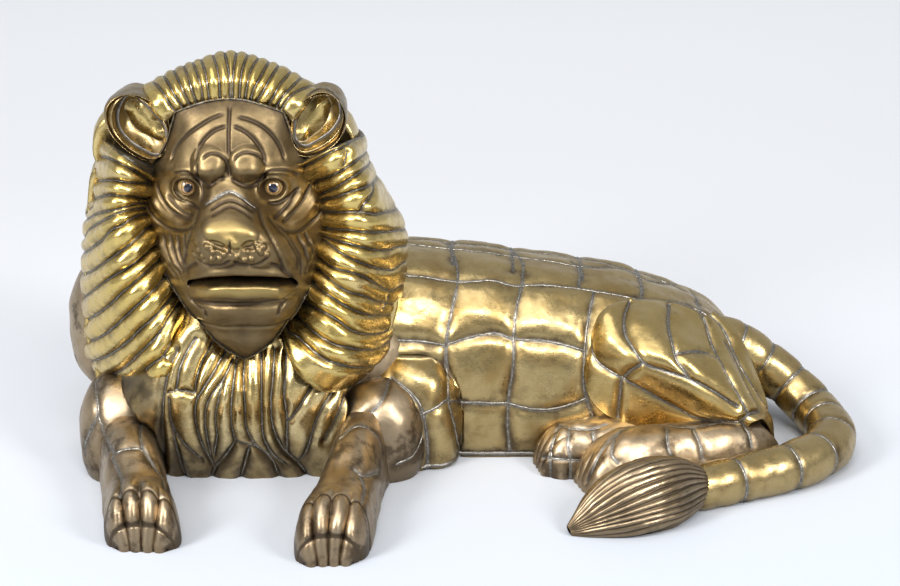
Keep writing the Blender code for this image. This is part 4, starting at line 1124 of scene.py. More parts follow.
class ManeSeams:
    """Joints between the locks as pixel lines of the photograph, each from the face outwards."""

    CHEEK_RIGHT = [
        [(151, 173), (137, 165), (120, 151), (105, 140)],
        [(147, 180), (141, 175.5), (129, 167), (117, 160.5), (108, 157.5), (99, 157)],
        [(143, 181.5), (130, 181.3), (117, 180.5), (98, 181.5)],
        [(137, 196.5), (132, 195), (120, 194.7), (107, 196), (98, 199)],
        [(137, 202), (126, 205.5), (114, 210), (99, 214), (90, 219)],
        [(138, 208), (130, 209), (119, 212), (110, 218), (100, 223.5), (92, 229), (87, 238)],
        [(139, 215), (130, 218), (121, 224.5), (113, 230), (106.5, 238), (97, 245.5), (90, 251)],
        [(143, 229), (136.5, 236), (125.5, 247), (114.5, 256.5), (103, 265), (92, 272)],
        [(147, 250), (141, 255.5), (130, 265), (117, 274.5), (106, 282), (94, 291), (87, 297)],
        [(155, 262), (148, 268), (136.5, 279), (123.5, 292), (114.5, 301), (103, 310.5), (92, 318)],
        [(164, 275), (158, 283.5), (148, 294.5), (136.5, 305.5), (125.5, 317), (114.5, 327), (101, 337),
         (89, 341.5)],
        [(171, 295), (163, 304.5), (154.5, 315.5), (143, 327), (130, 340), (118, 349), (106.5, 356),
         (94, 360)],
        [(171, 309), (165.5, 318), (159, 331), (150, 343.5), (139, 354.5), (125.5, 366.5), (112, 374.5),
         (103, 378)],
        [(180, 325), (172, 335.5), (166.5, 347), (162, 356), (157, 360), (148, 368), (139, 377.5),
         (125.5, 384.5)]]
    CHEEK_RIGHT_CROSS = [
        [(162, 356), (170, 358)], [(171, 375), (159, 381), (145.5, 386.5), (131, 390)],
        [(99.5, 158), (96, 168), (96, 178), (93.5, 187), (97, 197), (98, 203), (94, 208), (87, 216)]]
    CHEEK_LEFT = [
        [(314, 161), (322, 156.5), (330, 151.5), (342, 147), (350, 141.5)],
        [(321, 178), (330, 175.5), (340, 170.5), (350, 164.5), (360, 157)],
        [(329, 190), (338, 186), (347, 179.5), (355.5, 174), (363.5, 168)],
        [(331, 197), (340, 195), (350, 191), (361, 188), (369, 185), (374.5, 180.5)],
        [(329, 210.5), (342, 211), (352, 210.5), (360, 211.5), (371, 214), (382, 213), (392, 211)],
        [(327, 228), (340, 229.5), (352, 229.5), (364.5, 231), (378, 231.5), (391, 231), (397, 230)],
        [(324.5, 236.5), (333, 239), (344.5, 242), (358, 245), (371, 248.5), (385.5, 249.5), (397, 246)],
        [(328, 241), (338, 249), (347, 255), (358, 261), (370, 266), (381, 268.5), (392, 269), (400, 263)],
        [(322, 258), (331, 264.5), (341, 269), (350, 271), (359, 274.5), (368, 279), (375.5, 283.5),
         (383, 288), (391, 290), (399, 284.5)],
        [(315.5, 265.5), (323, 271), (332, 279), (341, 286.5), (350, 291.5), (361, 294.5), (372, 299),
         (381, 301.5)],
        [(313, 278), (317, 284.5), (325.5, 292), (334.5, 298), (343.5, 304.5), (353.5, 310), (363.5, 313.5),
         (375.5, 315), (388, 314.5), (397, 309)],
        [(303.5, 300.5), (312, 304.5), (321, 309.5), (330, 314.5), (339, 321), (348, 329), (357, 333),
         (368, 334), (380, 333), (388, 330), (396, 322)],
        [(300, 318), (307, 324.5), (315.5, 332), (325.5, 339), (337, 344.5), (348, 347), (359, 349),
         (370, 349.5), (379, 347), (387, 342)],
        [(291, 334.5), (299, 338), (306.5, 344.5), (315.5, 352), (325.5, 358.5), (337, 362), (348, 365),
         (359, 366)]]
    CHEEK_LEFT_CROSS = [
        [(341.5, 147), (344.5, 155), (343, 164)], [(372, 185), (369, 194), (362, 204), (360, 209.5)],
        [(386.5, 292), (386, 300), (381.5, 308)]]
    CROWN = [
        [(173.5, 109), (170, 104), (165, 95), (159, 87.5), (151, 81)],
        [(181, 104), (175, 95), (169, 84), (162.5, 74)], [(189.5, 103), (184, 92.5), (179, 81), (173, 69)],
        [(197, 103), (193, 92.5), (189, 79), (183.5, 65.5)],
        [(203, 101.5), (202, 91), (197.5, 74), (192, 61)],
        [(209.5, 100), (208, 87.5), (205.5, 72.5), (200.5, 58)],
        [(220, 97), (219.5, 82.5), (217, 67.5), (212.5, 54.5)],
        [(230, 97), (230, 81), (227.5, 66), (224, 51)], [(232.5, 97), (232.8, 80), (234.5, 65), (237, 51)],
        [(239.5, 99), (240, 85), (242.5, 69), (248, 54.5)], [(245, 100), (247, 86), (251, 70), (258, 59.5)],
        [(251, 100.5), (253, 91), (259.5, 79), (267.5, 64.5)],
        [(256, 101.5), (263, 91), (271, 77.5), (278, 67)],
        [(268, 104.5), (272.5, 97.5), (279, 86), (289, 74)], [(276, 107), (281, 99), (290, 89), (298, 81)],
        [(281, 109), (289, 97.5), (299, 91), (311, 87)]]
    BIB = [
        [(104.4, 378.8), (116.3, 389.3), (128.9, 403.3), (141.6, 418.8), (154.2, 430)],
        [(180.9, 350), (173.1, 365.4), (168.2, 380.9), (164.7, 403.3), (164, 428.6), (166.8, 448.2),
         (171, 473.5)],
        [(170.3, 396.3), (171.7, 417.4), (179.5, 434.2), (193.5, 449.6), (201.9, 455.2)],
        [(172, 420), (173.8, 428.6), (177.4, 445.4), (182.3, 462.3), (186.5, 473.5)],
        [(169, 391.4), (182.3, 389), (194.9, 391.8)],
        [(198.4, 393.5), (195.6, 406.1), (196.3, 420.2), (200.5, 437), (208.9, 453.8)],
        [(224.4, 352), (214.5, 370.5), (204.7, 385.5), (198.4, 396.3)],
        [(209.5, 340), (203, 356), (197.5, 372), (194.9, 391.8)],
        [(195.5, 338), (187, 352), (180, 370), (177, 389)],
        [(232.8, 360), (223, 379.5), (214, 391), (207.5, 402), (205.5, 420), (208, 438), (211, 452)],
        [(222.8, 380), (218.8, 397.7), (215.9, 416), (217.3, 434.2), (214.5, 451)],
        [(237, 356), (233.5, 385.1), (231.4, 406.1), (232.1, 423), (234.9, 437)],
        [(246.8, 354), (244.7, 378.1), (245.4, 406.1), (247.5, 427.2), (254, 440), (270, 452)],
        [(262.2, 350), (261.6, 379.3), (261.5, 408.7), (264.4, 436), (273.2, 452), (284, 460)],
        [(274.7, 350), (273, 378), (270.5, 401.4), (273.2, 426.3), (284, 447), (296.7, 458.6)],
        [(284.9, 356), (284.9, 372), (283.5, 392.6), (286.4, 414.6), (286.4, 432.2), (287, 449)],
        [(309.2, 386.7), (296.7, 407.2), (288.6, 417.5)],
        [(329, 392.6), (318.7, 408.7), (311.4, 430.7), (304, 451.2), (296.7, 458.6)],
        [(342, 396), (334.8, 413.1), (323.1, 436)],
        [(235.6, 438.4), (227.2, 451), (217.3, 462.3), (212, 474)],
        [(234.9, 437), (247, 440.5), (259.4, 446), (272, 457), (279, 472)],
        [(249.6, 444), (246, 458), (241.2, 474)], [(208.9, 453.8), (214, 462)],
        [(296.7, 458.6), (303, 466), (306, 472)]]


@dataclass
class Mane:
    """Golden mane: cheek locks, crown, bib and the locks that run back over the nape."""

    rows: int = 236
    columns: int = 112
    lock_rise: float = 1.60
    crown_rise: float = 0.95
    lock_half: float = 1.7
    base_rise: float = 0.15
    round_end: float = 0.08
    fading: tuple[float, float] = (0.40, 0.68)
    nape_locks: int = 14
    nape_tiers: int = 2
    nape_across: int = 12
    nape_columns: int = 96

    nape_deep: float = 37.0
    nape_turn: float = 88.0
    nape_rise: float = 1.9
    bib_rise: float = 0.4
    bib_rows: int = 190
    bib_columns: int = 145

    CORE = (1.2, 25.0, 50.0)
    SEAM = (Kind.SEAM, 0.30, -0.12)

    @staticmethod
    def led(points: Array, centre: Triple, amount: float, shift: float) -> Array:
        """Points led towards a centre across x and z, and shifted along y."""
        aim = np.asarray(centre, float) - points
        aim[..., 1] = 0.0
        return points + (unit(aim) * amount + np.array([0.0, shift, 0.0]))

    def sheet(self, guides: list, spacing: list[int], inside: Triple, root: tuple, back: tuple) -> Skin:
        """Smooth sheet through guide curves, from the face outwards and on round the back.

        Args:
            guides: curves from the face outwards.
            spacing: how far apart the guides lie, in locks.
            inside: a point inside the mane.
            root: centre, amount and shift by which the inner ends are led in.
            back: the same for one more point, which leads the sheet round the back.

        Returns:
            The plain sheet, its rows lying along the locks.
        """
        lines = np.array(guides, float)
        lines[:, :1] = self.led(lines[:, :1], *root)
        lines = np.concatenate([lines, self.led(lines[:, -1:], *back)], axis=1)
        return Skin(patch(lines, spacing, self.rows, self.columns), inside)

    def part(self, skin: Skin, joints: list[Pixels], crossing: list[Pixels]) -> None:
        """Work in the joints of the locks, led on along the sheet to both of its edges.

        Args:
            skin: the plain sheet.
            joints: pixel lines along the locks.
            crossing: pixel lines that end where they end.
        """
        tree = skin.tree()
        flat = skin.points.reshape(-1, 3)
        columns = skin.points.shape[1]
        for pixels in joints:
            line = skin.lay(pixels, tree)
            if len(line) < 2:
                continue
            ends = [int(np.argmin(np.linalg.norm(flat - end, axis=1))) for end in (line[0], line[-1])]
            (first, near), (last, far) = (divmod(end, columns) for end in ends)
            inner, outer = skin.points[first, :max(near - 2, 0):4], skin.points[last, far + 3::4]
            skin.work_line(np.concatenate([inner, line, outer]), *self.SEAM)
        skin.work(*self.SEAM, crossing)

    def locks(self, skin: Skin, joints: list[Pixels], crossing: list[Pixels], rise: float,
              flat_end: float, seed: int) -> None:
        """Turn a plain sheet into puffed locks.

        Args:
            skin: the plain sheet.
            joints: pixel lines along the locks.
            crossing: short joints across them.
            rise: height of a wide lock above its joints.
            flat_end: share of the swell that is gone at the silhouette.
            seed: which draw of lock tones.
        """
        self.part(skin, joints, crossing)
        skin.border(skin.points[0, ::6], skin.points[-1, ::6])
        skin.puff(rise, self.lock_half, 0.10, seed)
        share = np.linspace(0, 1, self.columns)[None, :]
        skin.height *= 1 - flat_end * ease(share, *self.fading)
        edge = np.sqrt(clip((share + 0.01) / self.round_end)) * np.sqrt(clip((1 - share) / self.round_end))
        skin.height = (skin.height + self.base_rise) * edge
        skin.gold = 0.92 - 0.30 * ease(share, 0.55, 0.80) - 0.25 * (1 - ease(share, 0.0, 0.12))
        skin.gold = skin.gold + 0.10 * waves(skin.points, 9.0, seed)
        skin.gold = np.clip(skin.gold, 0.5, 1.0)
        skin.hammer(0.06, 3.4, seed)
        skin.settle(2)

    def nape(self) -> Skin:
        """Back of the mane, from the silhouette to the shoulders."""
        w = (1 - np.cos(np.arange(self.nape_across) / self.nape_across * math.pi)) / 2
        s = np.concatenate([(np.arange(self.nape_locks)[:, None] + w[None, :]).ravel(), [self.nape_locks]])
        outline = ManeGuides.NAPE
        edge = smooth(np.linspace(0, 1, len(outline)), outline, s / self.nape_locks)
        rows, whole = np.linspace(0, 1, self.nape_columns), math.radians(self.nape_turn)
        turn = rows[None, :] * whole
        middle = np.array([0.5, 25.0])
        shrink = np.cos(turn) ** 0.85
        flat = middle + (edge[:, None, :] - middle) * shrink[:, :, None]
        flat = flat + (edge[:, None, :] - middle) * -0.035 * bump(turn / whole, 0.10)[:, :, None]
        deep = 0.5 + self.nape_deep * np.sin(turn) ** 1.15 + np.zeros((len(s), 1))
        skin = Skin(np.stack([flat[:, :, 0], deep, flat[:, :, 1]], axis=2), (0, 5, 45))
        index = np.floor(s + TINY)
        w = s - index
        share = rows[None, :] * self.nape_tiers
        tier = share - np.floor(share)
        drop = 1.0 - 0.75 * clip((tier - 0.82) / 0.18) * clip((self.nape_tiers - share) * 9)
        skin.height = self.nape_rise * pillow(w)[:, None] * np.minimum(1, 1.2 * shrink) * drop
        skin.seam = np.minimum(w, 1 - w)[:, None] * 9.0 * shrink + 0.12
        skin.seam = np.minimum(skin.seam, np.abs(share - 1.0) * 24 + 0.15)
        draw = np.random.default_rng(5)
        skin.tone = draw.uniform(0, 1, (self.nape_locks + 1, self.nape_tiers + 1))[
            index.astype(int)[:, None], np.floor(share).astype(int)]
        skin.gold[:] = 0.75
        skin.hammer(0.09, 4.0, 17)
        return skin.settle()

    def bib(self) -> Skin:
        """Chest locks under the chin, parted by the seams of the photograph."""
        lines = np.array(ManeGuides.BIB, float)
        lines = np.concatenate([lines[:, :1] + (0, 5.0, 3.0), lines, lines[:, -1:] + (0, 1.5, -4.5)], axis=1)
        grid = patch(lines, ManeGuides.BIB_LOCKS, self.bib_rows, self.bib_columns)
        skin = Skin(grid, (2, 10, 18))
        skin.height += self.bib_rise
        skin.work(*self.SEAM, ManeSeams.BIB)
        skin.puff(1.35, 1.8, 0.12, 23)
        across, up = skin.points[:, :, 0], skin.points[:, :, 2]
        skin.gold = 0.14 + 0.52 * ease(up, 3, 24) * ease(across, -14.5, -11.5)
        # Painted shade: the bib's far left strip, where it meets the right foreleg, is darkened.
        skin.groove_and_shade = np.maximum(skin.groove_and_shade, 0.38 * (1 - ease(across, -15.0, -13.6)))
        skin.hammer(0.08, 3.6, 29)
        return skin.settle(2)

    def build(self, brass: Material, solder: Material) -> None:
        """Make every part of the mane."""
        head, g, joints = (1.2, 8.0, 52.0), ManeGuides, ManeSeams
        root, back = ((1.2, 0, 52.0), 2.6, 1.2), ((1.2, 0, 48.0), 2.2, 11.0)
        left = self.sheet(g.CHEEK_LEFT, g.CHEEK_LEFT_LOCKS, head, root, back)
        right = self.sheet(g.CHEEK_RIGHT, g.CHEEK_RIGHT_LOCKS, head, root, back)
        root, back = ((1.2, 0, 60.0), 0.6, 0.4), ((0.0, 0, 55.0), 2.4, 9.0)
        crown = self.sheet(g.CROWN, g.CROWN_LOCKS, (1, 6, 62), root, back)
        self.locks(left, joints.CHEEK_LEFT, joints.CHEEK_LEFT_CROSS, self.lock_rise, 0.70, 3)
        self.locks(right, joints.CHEEK_RIGHT, joints.CHEEK_RIGHT_CROSS, self.lock_rise, 0.40, 4)
        self.locks(crown, joints.CROWN, [], self.crown_rise, 0.90, 6)
        for skin, core in ((left, self.CORE), (right, self.CORE), (crown, (0.5, 12.0, 62.0))):
            skin.close(core)
        nape, bib = self.nape().close((0.5, 6.0, 40.0)), self.bib().close((2.0, 12.0, 16.0))
        brass_piece("mane_cheeks", [left, right], brass)
        brass_piece("mane_crown", [crown], brass)
        brass_piece("mane_nape", [nape], brass)
        brass_piece("mane_bib", [bib], brass)
        bead_piece("mane_solder", [left, right, crown], solder, 0.15, 0.07)
        bead_piece("bib_solder", [bib], solder, 0.19, 0.10)


@dataclass
class Ears:
    """Cupped ears: a leaf-shaped swelling in the cup, a thin bright rim wire and two rolls round it."""

    around: int = 150
    rows: int = 92
    back_rows: int = 8
    plane: float = -7.4
    edge_y: float = -6.2
    edge_z: float = 70.0
    lean: float = 0.10
    cup_deep: float = 2.6
    back_deep: float = 1.5
    leaf_rise: float = 1.35
    leaf_half: float = 2.6

    RIGHT = [
        (-12.2, 70.6), (-10.6, 73.9), (-11, 77.6), (-13.2, 80.2), (-16.5, 81.8), (-19.6, 82), (-22.4, 80.7),
        (-23.6, 78.4), (-23.2, 75.5), (-21.4, 72.6), (-18.4, 70), (-15.2, 68.8)]
    LEFT = [
        (13.5, 70.6), (12.1, 73.7), (12.7, 76.9), (14.7, 79.6), (17.5, 81.4), (20.5, 81.8), (23, 80.4),
        (24.1, 77.4), (23.5, 74.3), (21.9, 71.9), (18.9, 70), (15.9, 69.5)]
    RIGHT_WIRE = [
        (165, 129.5), (155, 117), (145.5, 107.5), (135.5, 98.5), (126, 97.5), (119, 106), (116, 117),
        (117.5, 129), (124, 138.5), (137, 148.5), (155, 156.5), (166, 150)]
    LEFT_WIRE = [
        (293.4, 128), (298, 112), (305, 99), (316, 92), (324, 91), (334, 97.5), (340, 108), (340, 119),
        (334, 130), (322, 140), (306, 147.5), (296, 143)]
    RIGHT_LEAF = ((131, 113), (156, 137))
    LEFT_LEAF = ((321, 109), (302, 137))
    SHARE = [1.0, 1.10, 1.35, 1.62, 1.72, 1.86, 2.06, 2.12, 2.04, 1.72]
    DEEP = [0.0, 0.5, 1.9, 1.4, 1.1, 1.7, 0.8, -1.2, -4.0, -8.0]

    def flat(self, pixels: Pixels) -> Array:
        """Places across and up of pixels, on the upright plane of the ears."""
        found = []
        for pixel in pixels:
            start, aim = VIEW.ray(pixel)
            spot = start + aim * ((self.plane - start.y) / aim.y)
            found.append((spot.x, spot.z))
        return np.array(found)

    def loop(self, points: Array) -> Array:
        """Closed smooth outline through a few points, by its angle round its middle."""
        count = len(points)
        ring = smooth(np.arange(-2, count + 3), np.concatenate([points[-2:], points, points[:3]]),
                      np.arange(self.around) * count / self.around)
        middle = ring.mean(axis=0)
        turn = np.arctan2(ring[:, 1] - middle[1], ring[:, 0] - middle[0])
        return ring[np.argsort(turn % (2 * math.pi))]

    def skin(self, outline: list, wire: Pixels, leaf: Pixels) -> Skin:
        """One ear.

        Args:
            outline: points round the ear, across and up.
            wire: pixels of the rim wire.
            leaf: pixels of the two ends of the swelling.

        Returns:
            The settled sheet.
        """
        outer, inner = self.loop(np.array(outline, float)), self.loop(self.flat(wire))
        middle = inner.mean(axis=0)
        cup = np.linspace(0, 1, self.rows // 2, endpoint=False)[:, None, None]
        cup_flat = middle + (inner[None] - middle) * cup
        place = np.linspace(0, len(self.SHARE) - 1, self.rows - self.rows // 2)
        share, deep = (smooth(np.arange(len(self.SHARE)), v, place) for v in (self.SHARE, self.DEEP))
        part = np.clip(share - 1.0, 0, None)[:, None, None]
        rim_flat = inner[None] + (outer[None] - inner[None]) * part
        shut = np.linspace(1, 0, self.back_rows + 1)[1:, None, None]
        flat = np.concatenate([cup_flat, rim_flat, middle + (rim_flat[-1:] - middle) * shut])
        hollow = np.concatenate([-self.cup_deep * (1 - cup[:, :, 0] ** 3), deep[:, None],
                                 deep[-1] - self.back_deep * (1 - shut[:, :, 0] ** 2)])
        y = self.edge_y - hollow + self.lean * (flat[:, :, 1] - self.edge_z)
        skin = Skin(np.stack([flat[:, :, 0], y, flat[:, :, 1]], axis=2), (middle[0], 4, middle[1]), True)
        low, high = self.flat(leaf)
        run = high - low
        along = clip(((flat - low) @ run) / (run @ run))
        gap = np.linalg.norm(flat - low - along[:, :, None] * run, axis=2)
        wide = self.leaf_half * (0.45 + 0.55 * np.sin(math.pi * clip(along * 0.8 + 0.15)))
        in_cup = (np.arange(len(flat)) < self.rows // 2)[:, None]
        leaf_share = clip(1 - (gap / wide) ** 2) * in_cup
        skin.height += self.leaf_rise * leaf_share**0.8
        number = np.concatenate([cup[:, 0, 0], share, 2.6 - shut[:, 0, 0]])[:, None] + 0 * y
        skin.gold = 0.62 + 0.30 * leaf_share - 0.26 * ease(number, 1.05, 1.2)
        skin.groove_and_shade = (bump(leaf_share - 0.02, 0.05) * (number < 0.97) * 0.5 + bump(number - 1.10, 0.05) * 0.9
                       + bump(number - 1.70, 0.05) * 0.8)
        skin.seam = np.abs(number - 2.12) * 6 + 0.4
        skin.hammer(0.05, 3.0, 41)
        row = self.rows // 2
        skin.lines = [np.concatenate([skin.points[row], skin.points[row, :1]])]
        return skin.settle(1)

    def build(self, brass: Material, bright: Material) -> None:
        """Make both ears and their rim wires."""
        skins = [self.skin(self.RIGHT, self.RIGHT_WIRE, self.RIGHT_LEAF),
                 self.skin(self.LEFT, self.LEFT_WIRE, self.LEFT_LEAF)]
        brass_piece("ears", skins, brass)
        bead_piece("ear_rim_wires", skins, bright, 0.27, 0.42)


@dataclass
class Torso:
    """Barrel of the body with its rows of puffed panels.

    At each station along the body x, y, half and top are its place, its middle, its half width and
    its height; across and rise give the shape of the section as shares of the last two.
    """

    x: tuple = (-6, 8, 22, 33, 45, 58, 73, 86, 97, 104.5, 109.5, 113)
    y: tuple = (15, 19, 23, 24.5, 25, 25, 25, 24.5, 24, 23.5, 23, 23)
    half: tuple = (15, 21, 22.8, 23, 23, 23, 23, 23.2, 22, 18, 12, 5)
    top: tuple = (30, 37.0, 39.8, 39.9, 39.0, 37.4, 35.2, 32.2, 27.8, 22.4, 17.2, 11)
    across: tuple = (-0.93, -0.97, -1, -0.885, -0.55, 0, 0.55, 0.885, 1, 0.97, 0.93)
    rise: tuple = (-0.08, 0.03, 0.33, 0.70, 0.93, 1, 0.93, 0.70, 0.33, 0.03, -0.08)
    columns: int = 245
    rings: int = 210
    first: float = 1.2
    hem_half: float = 0.55
    hem_high: float = 0.45
    hem_run: tuple[float, float] = (38.0, 78.0)
    elbow_soft: float = 0.9

    ELBOW = ((36.0, 5.0, 8.5), (10.5, 10.2, 14.0), 2.6)
    CORE = (60, 27, 15)
    SEAM = (Kind.SEAM, 0.5, -0.12)
    HOOPS = (4.0, 5.0, 6.0, 7.0, 8.2)       # stations of the far side's upright seams
    LEVELS = (5.5, 6.9, 7.8, 8.8)           # places round the barrel of its level seams

    SEAMS = [
        [(402, 243.8), (447, 249.1), (494.8, 253.9), (538.8, 260.6), (578, 266.3), (626.8, 272.1),
         (639.2, 278.4), (664, 283), (688.5, 289.8), (710.3, 302), (732, 319)],
        [(404.9, 275.9), (427.8, 278.2), (456.5, 282), (494.8, 282), (513.9, 286.4), (533, 285.5),
         (561.7, 287.4), (594.3, 291.6), (630.6, 298.3), (658.9, 301.2), (686.5, 306.1), (704, 315),
         (718.2, 328.9), (732, 346.6)],
        [(393.4, 340), (418.3, 341.3), (446, 345.2)],
        [(446, 344.8), (471.8, 337.1), (498.6, 334.3), (513.9, 340)],
        [(513.9, 340), (542.6, 341), (563.7, 344.8), (585.7, 351.5)],
        [(420.2, 414.6), (437.4, 406), (447.2, 398.4)], [(447.3, 400.5), (475.7, 402.6), (508.2, 403.1)],
        [(508.2, 403.5), (533, 408.9), (552.2, 408.9), (571.3, 404.1), (585.7, 398.4)],
        [(447, 244.3), (451.7, 253), (456.5, 264.4), (457.5, 281.7), (451.7, 310.4), (446, 344.8),
         (447, 373.5), (447.3, 398.4), (451.7, 421.3), (459.4, 458)],
        [(513, 252), (520.6, 259.7), (522, 283.6), (516.8, 306.5), (513.9, 329.5), (513.5, 363.9),
         (508.2, 402.2), (507.8, 427.1), (510.1, 452)],
        [(571, 262), (578, 268.3), (578.5, 288.6)],
        [(594.3, 291.6), (589.5, 312.3), (585.7, 337.1), (584.3, 363.9), (583.7, 385), (590.4, 409.8),
         (594, 420)],
        [(634, 274), (639.2, 279.7), (641.1, 298.6)],
        [(391.5, 378), (408.7, 391), (418.3, 402.2), (423, 415.6), (426.9, 440.4), (427.8, 471)]]

    def place(self, u: Array, v: Array) -> Array:
        """Points of the plain barrel at places along (u) and around (v)."""
        keys, ring = np.arange(len(self.x)), np.arange(len(self.across))
        middle, half, top, x = (smooth(keys, k, u)[:, None] for k in (self.y, self.half, self.top, self.x))
        across, rise = smooth(ring, self.across, v), smooth(ring, self.rise, v)
        return np.stack([x + np.zeros((1, len(v))), middle + half * across, top * rise], axis=2)

    def over_elbow(self, grid: Array, v: Array) -> Array:
        """Lead the near side of the barrel out over the elbow that lies before it."""
        (x, y, z), (a, b, c), power = self.ELBOW
        left = 1 - np.abs((grid[:, :, 0] - x) / a) ** power - np.abs((grid[:, :, 2] - z) / c) ** power
        front = y - b * clip(left) ** (1 / power)
        near, soft = grid[:, :, 1], self.elbow_soft
        led = -soft * np.logaddexp(-near / soft, -front / soft)
        grid[:, :, 1] = np.where((left > -0.5) & (v < 3.0)[None, :], led, near)
        return grid

    def skin(self) -> Skin:
        """The barrel with seams and puffed panels."""
        u = np.linspace(self.first, len(self.x) - 1, self.columns)
        v = np.linspace(0, len(self.across) - 1, self.rings)
        skin = Skin(self.over_elbow(self.place(u, v), v), self.CORE)
        skin.work(*self.SEAM, self.SEAMS)
        run, top = np.linspace(0, 1, 60), self.LEVELS[0]
        lines = [self.place(np.array([a]), top + (9.9 - top) * run)[0] for a in self.HOOPS]
        lines += [self.place(2.6 + 7.4 * run, np.array([b]))[:, 0] for b in self.LEVELS]
        lines += [self.place(np.array([a]), 4.45 + 1.05 * run)[0] for a in self.HOOPS]
        lines += [self.place(1.6 + 7.8 * run, np.array([0.98]))[:, 0]]
        for line in lines:
            skin.work_line(line, *self.SEAM)
        skin.puff(0.95, 3.4, 0.25, 7)
        skin.height *= 1 - 0.55 * bump(v - 5.0, 1.1)[None, :]
        skin.gold[:] = 0.36
        skin.hammer(0.16, 7.0, 13)
        skin.hammer(0.05, 3.0, 14)
        return skin.settle(3)

    def build(self, brass: Material, solder: Material) -> None:
        """Make the barrel and its solder."""
        skin = self.skin()
        brass_piece("torso_panels", [skin], brass)
        bead_piece("torso_solder", [skin], solder, 0.27, 0.15)
        hem = Skin(skin.points, self.CORE)
        hem.lines = [self.hem(skin)]
        bead_piece("torso_hem", [hem], brass, self.hem_half, self.hem_high)

    def hem(self, skin: Skin) -> Array:
        """Line of the folded lower edge on the near side, where the barrel comes down to the floor."""
        near = skin.points[:, :self.rings // 4]
        row = np.argmin(np.abs(near[:, :, 2] - self.hem_high * 2), axis=1)
        line = near[np.arange(len(near)), row]
        first, last = self.hem_run
        return line[(line[:, 0] > first) & (line[:, 0] < last)][::3]


@dataclass
class Thigh:
    """Near thigh with its leaf-shaped panels, and the plainer far one."""

    rows: int = 170
    columns: int = 178
    far_tilts: Triple = (-0.55, 0.1, 0.7)

    SEAM = (Kind.SEAM, 0.42, -0.1)
    FAR = ((91.0, 36.5, 5.0), (19.0, 13.0, 21.0), 2.2)
    UNDER = ((93.0, 18.0, 2.0), (18.5, 17.0, 17.0), 2.0)
    GUIDES = [
        [(76.1, 6, 25.1), (73.6, 3, 19.8), (75.5, 1, 12.7), (84.4, -2, 9), (97.1, -2, 7), (107.2, -2, 4)],
        [(82.4, 11, 32), (76.2, 4, 30.7), (76.4, 0, 22.9), (84.2, -3, 17.2), (96.4, -4.5, 11.6),
         (106.2, -3.6, 7)],
        [(84.4, 12, 32.4), (80.9, 3, 30.7), (82.5, -4, 26.7), (89, -6, 23), (97, -6.6, 18.4),
         (106.6, -4.8, 10.6)],
        [(91.3, 12, 31.4), (89.9, 4, 30.2), (91.2, -3.5, 26.9), (95.2, -6.2, 22.9), (101.2, -5.8, 18),
         (108.8, -4, 11.2)],
        [(98.1, 11, 28.9), (99.4, 5, 24.7), (101.4, 0, 21.8), (104.6, -2, 17.4), (107.6, -2.6, 13.6),
         (110.8, -1.4, 8.8)],
        [(100.7, 15, 28), (105.1, 13, 24.3), (108.1, 10, 19.3), (110.2, 7, 14), (112.1, 4, 9.5),
         (112.8, 1.5, 4.4)]]
    SEAMS = [
        [(629.2, 299.2), (609.4, 309.1), (596.6, 328.9), (592.6, 346.6), (597.6, 360.5), (608, 369.5),
         (623.3, 377.3)],
        [(629.2, 302.2), (624.3, 317), (625.2, 334.8), (633.2, 348.6), (642, 360.5), (664.8, 370.4),
         (686.5, 377.3), (718.2, 394.1), (736, 406)],
        [(668.7, 303), (667.7, 322.9), (670.7, 340.7), (678.6, 364.4), (688, 376)],
        [(674.7, 354.6), (690.5, 352.6), (706.3, 354.6), (716.2, 359.5)],
        [(700, 312), (704.3, 322.9), (710.3, 342.7), (718.2, 360.5), (732, 386.2), (745.8, 411.9)],
        [(629.2, 298.6), (658.9, 301.2), (686.5, 305.6), (710.3, 317), (728, 340.7), (737.9, 364.4),
         (751.8, 388.2), (767.6, 413.9), (777.5, 441.5)],
        [(726, 345), (734, 362), (746, 388), (758, 412)],
        [(642, 362.5), (629.2, 371.4), (623.3, 377.3), (620.3, 394.1), (618.3, 415.8)],
        [(623.3, 377.3), (649, 392.1), (678.6, 407.9), (702.3, 418.8), (738, 420.8)],
        [(738, 420.8), (751.8, 412.9), (758, 412)], [(741.9, 421.8), (746, 432), (751.1, 444.4)],
        [(583.7, 386.2), (593.6, 404), (607.5, 414.9), (620, 421)]]

    def near(self) -> Skin:
        """The thigh that shows."""
        skin = Skin(patch(self.GUIDES, [1] * (len(self.GUIDES) - 1), self.rows, self.columns), (95, 22, 8))
        skin.work(*self.SEAM, self.SEAMS)
        skin.puff(0.95, 2.6, 0.2, 19)
        skin.gold[:] = 0.62
        skin.hammer(0.12, 6.0, 21)
        return skin.settle(3)

    def far(self) -> Skin:
        """Plainer thigh on the far side."""
        skin = ball_skin(*self.FAR)
        tree, run = skin.tree(), np.linspace(-1.2, 1.2, 40)
        for tilt in self.far_tilts:
            line = np.stack([91 + 15 * np.sin(run) * 0.9 + tilt * 12, 36.5 + 12.8 * np.cos(run * 0.9),
                             7 + 15 * np.cos(run + tilt)], axis=1)
            skin.work_line(np.array([tree.find_nearest(Vector(p))[0][:] for p in line]), *self.SEAM)
        skin.puff(0.8, 2.6, 0.2, 33)
        skin.gold[:] = 0.38
        skin.hammer(0.12, 6.0, 22)
        return skin.settle(2)

    def build(self, brass: Material, solder: Material) -> None:
        """Make both thighs and their solder."""
        near, far = self.near().close((95.0, 23.0, 7.0)), self.far()
        under = ball_skin(*self.UNDER, 40, 60)
        under.gold[:] = 0.38
        brass_piece("thigh_panels", [near], brass)
        brass_piece("far_thigh", [far, under.settle()], brass)
        bead_piece("thigh_solder", [near, far], solder, 0.23, 0.13)


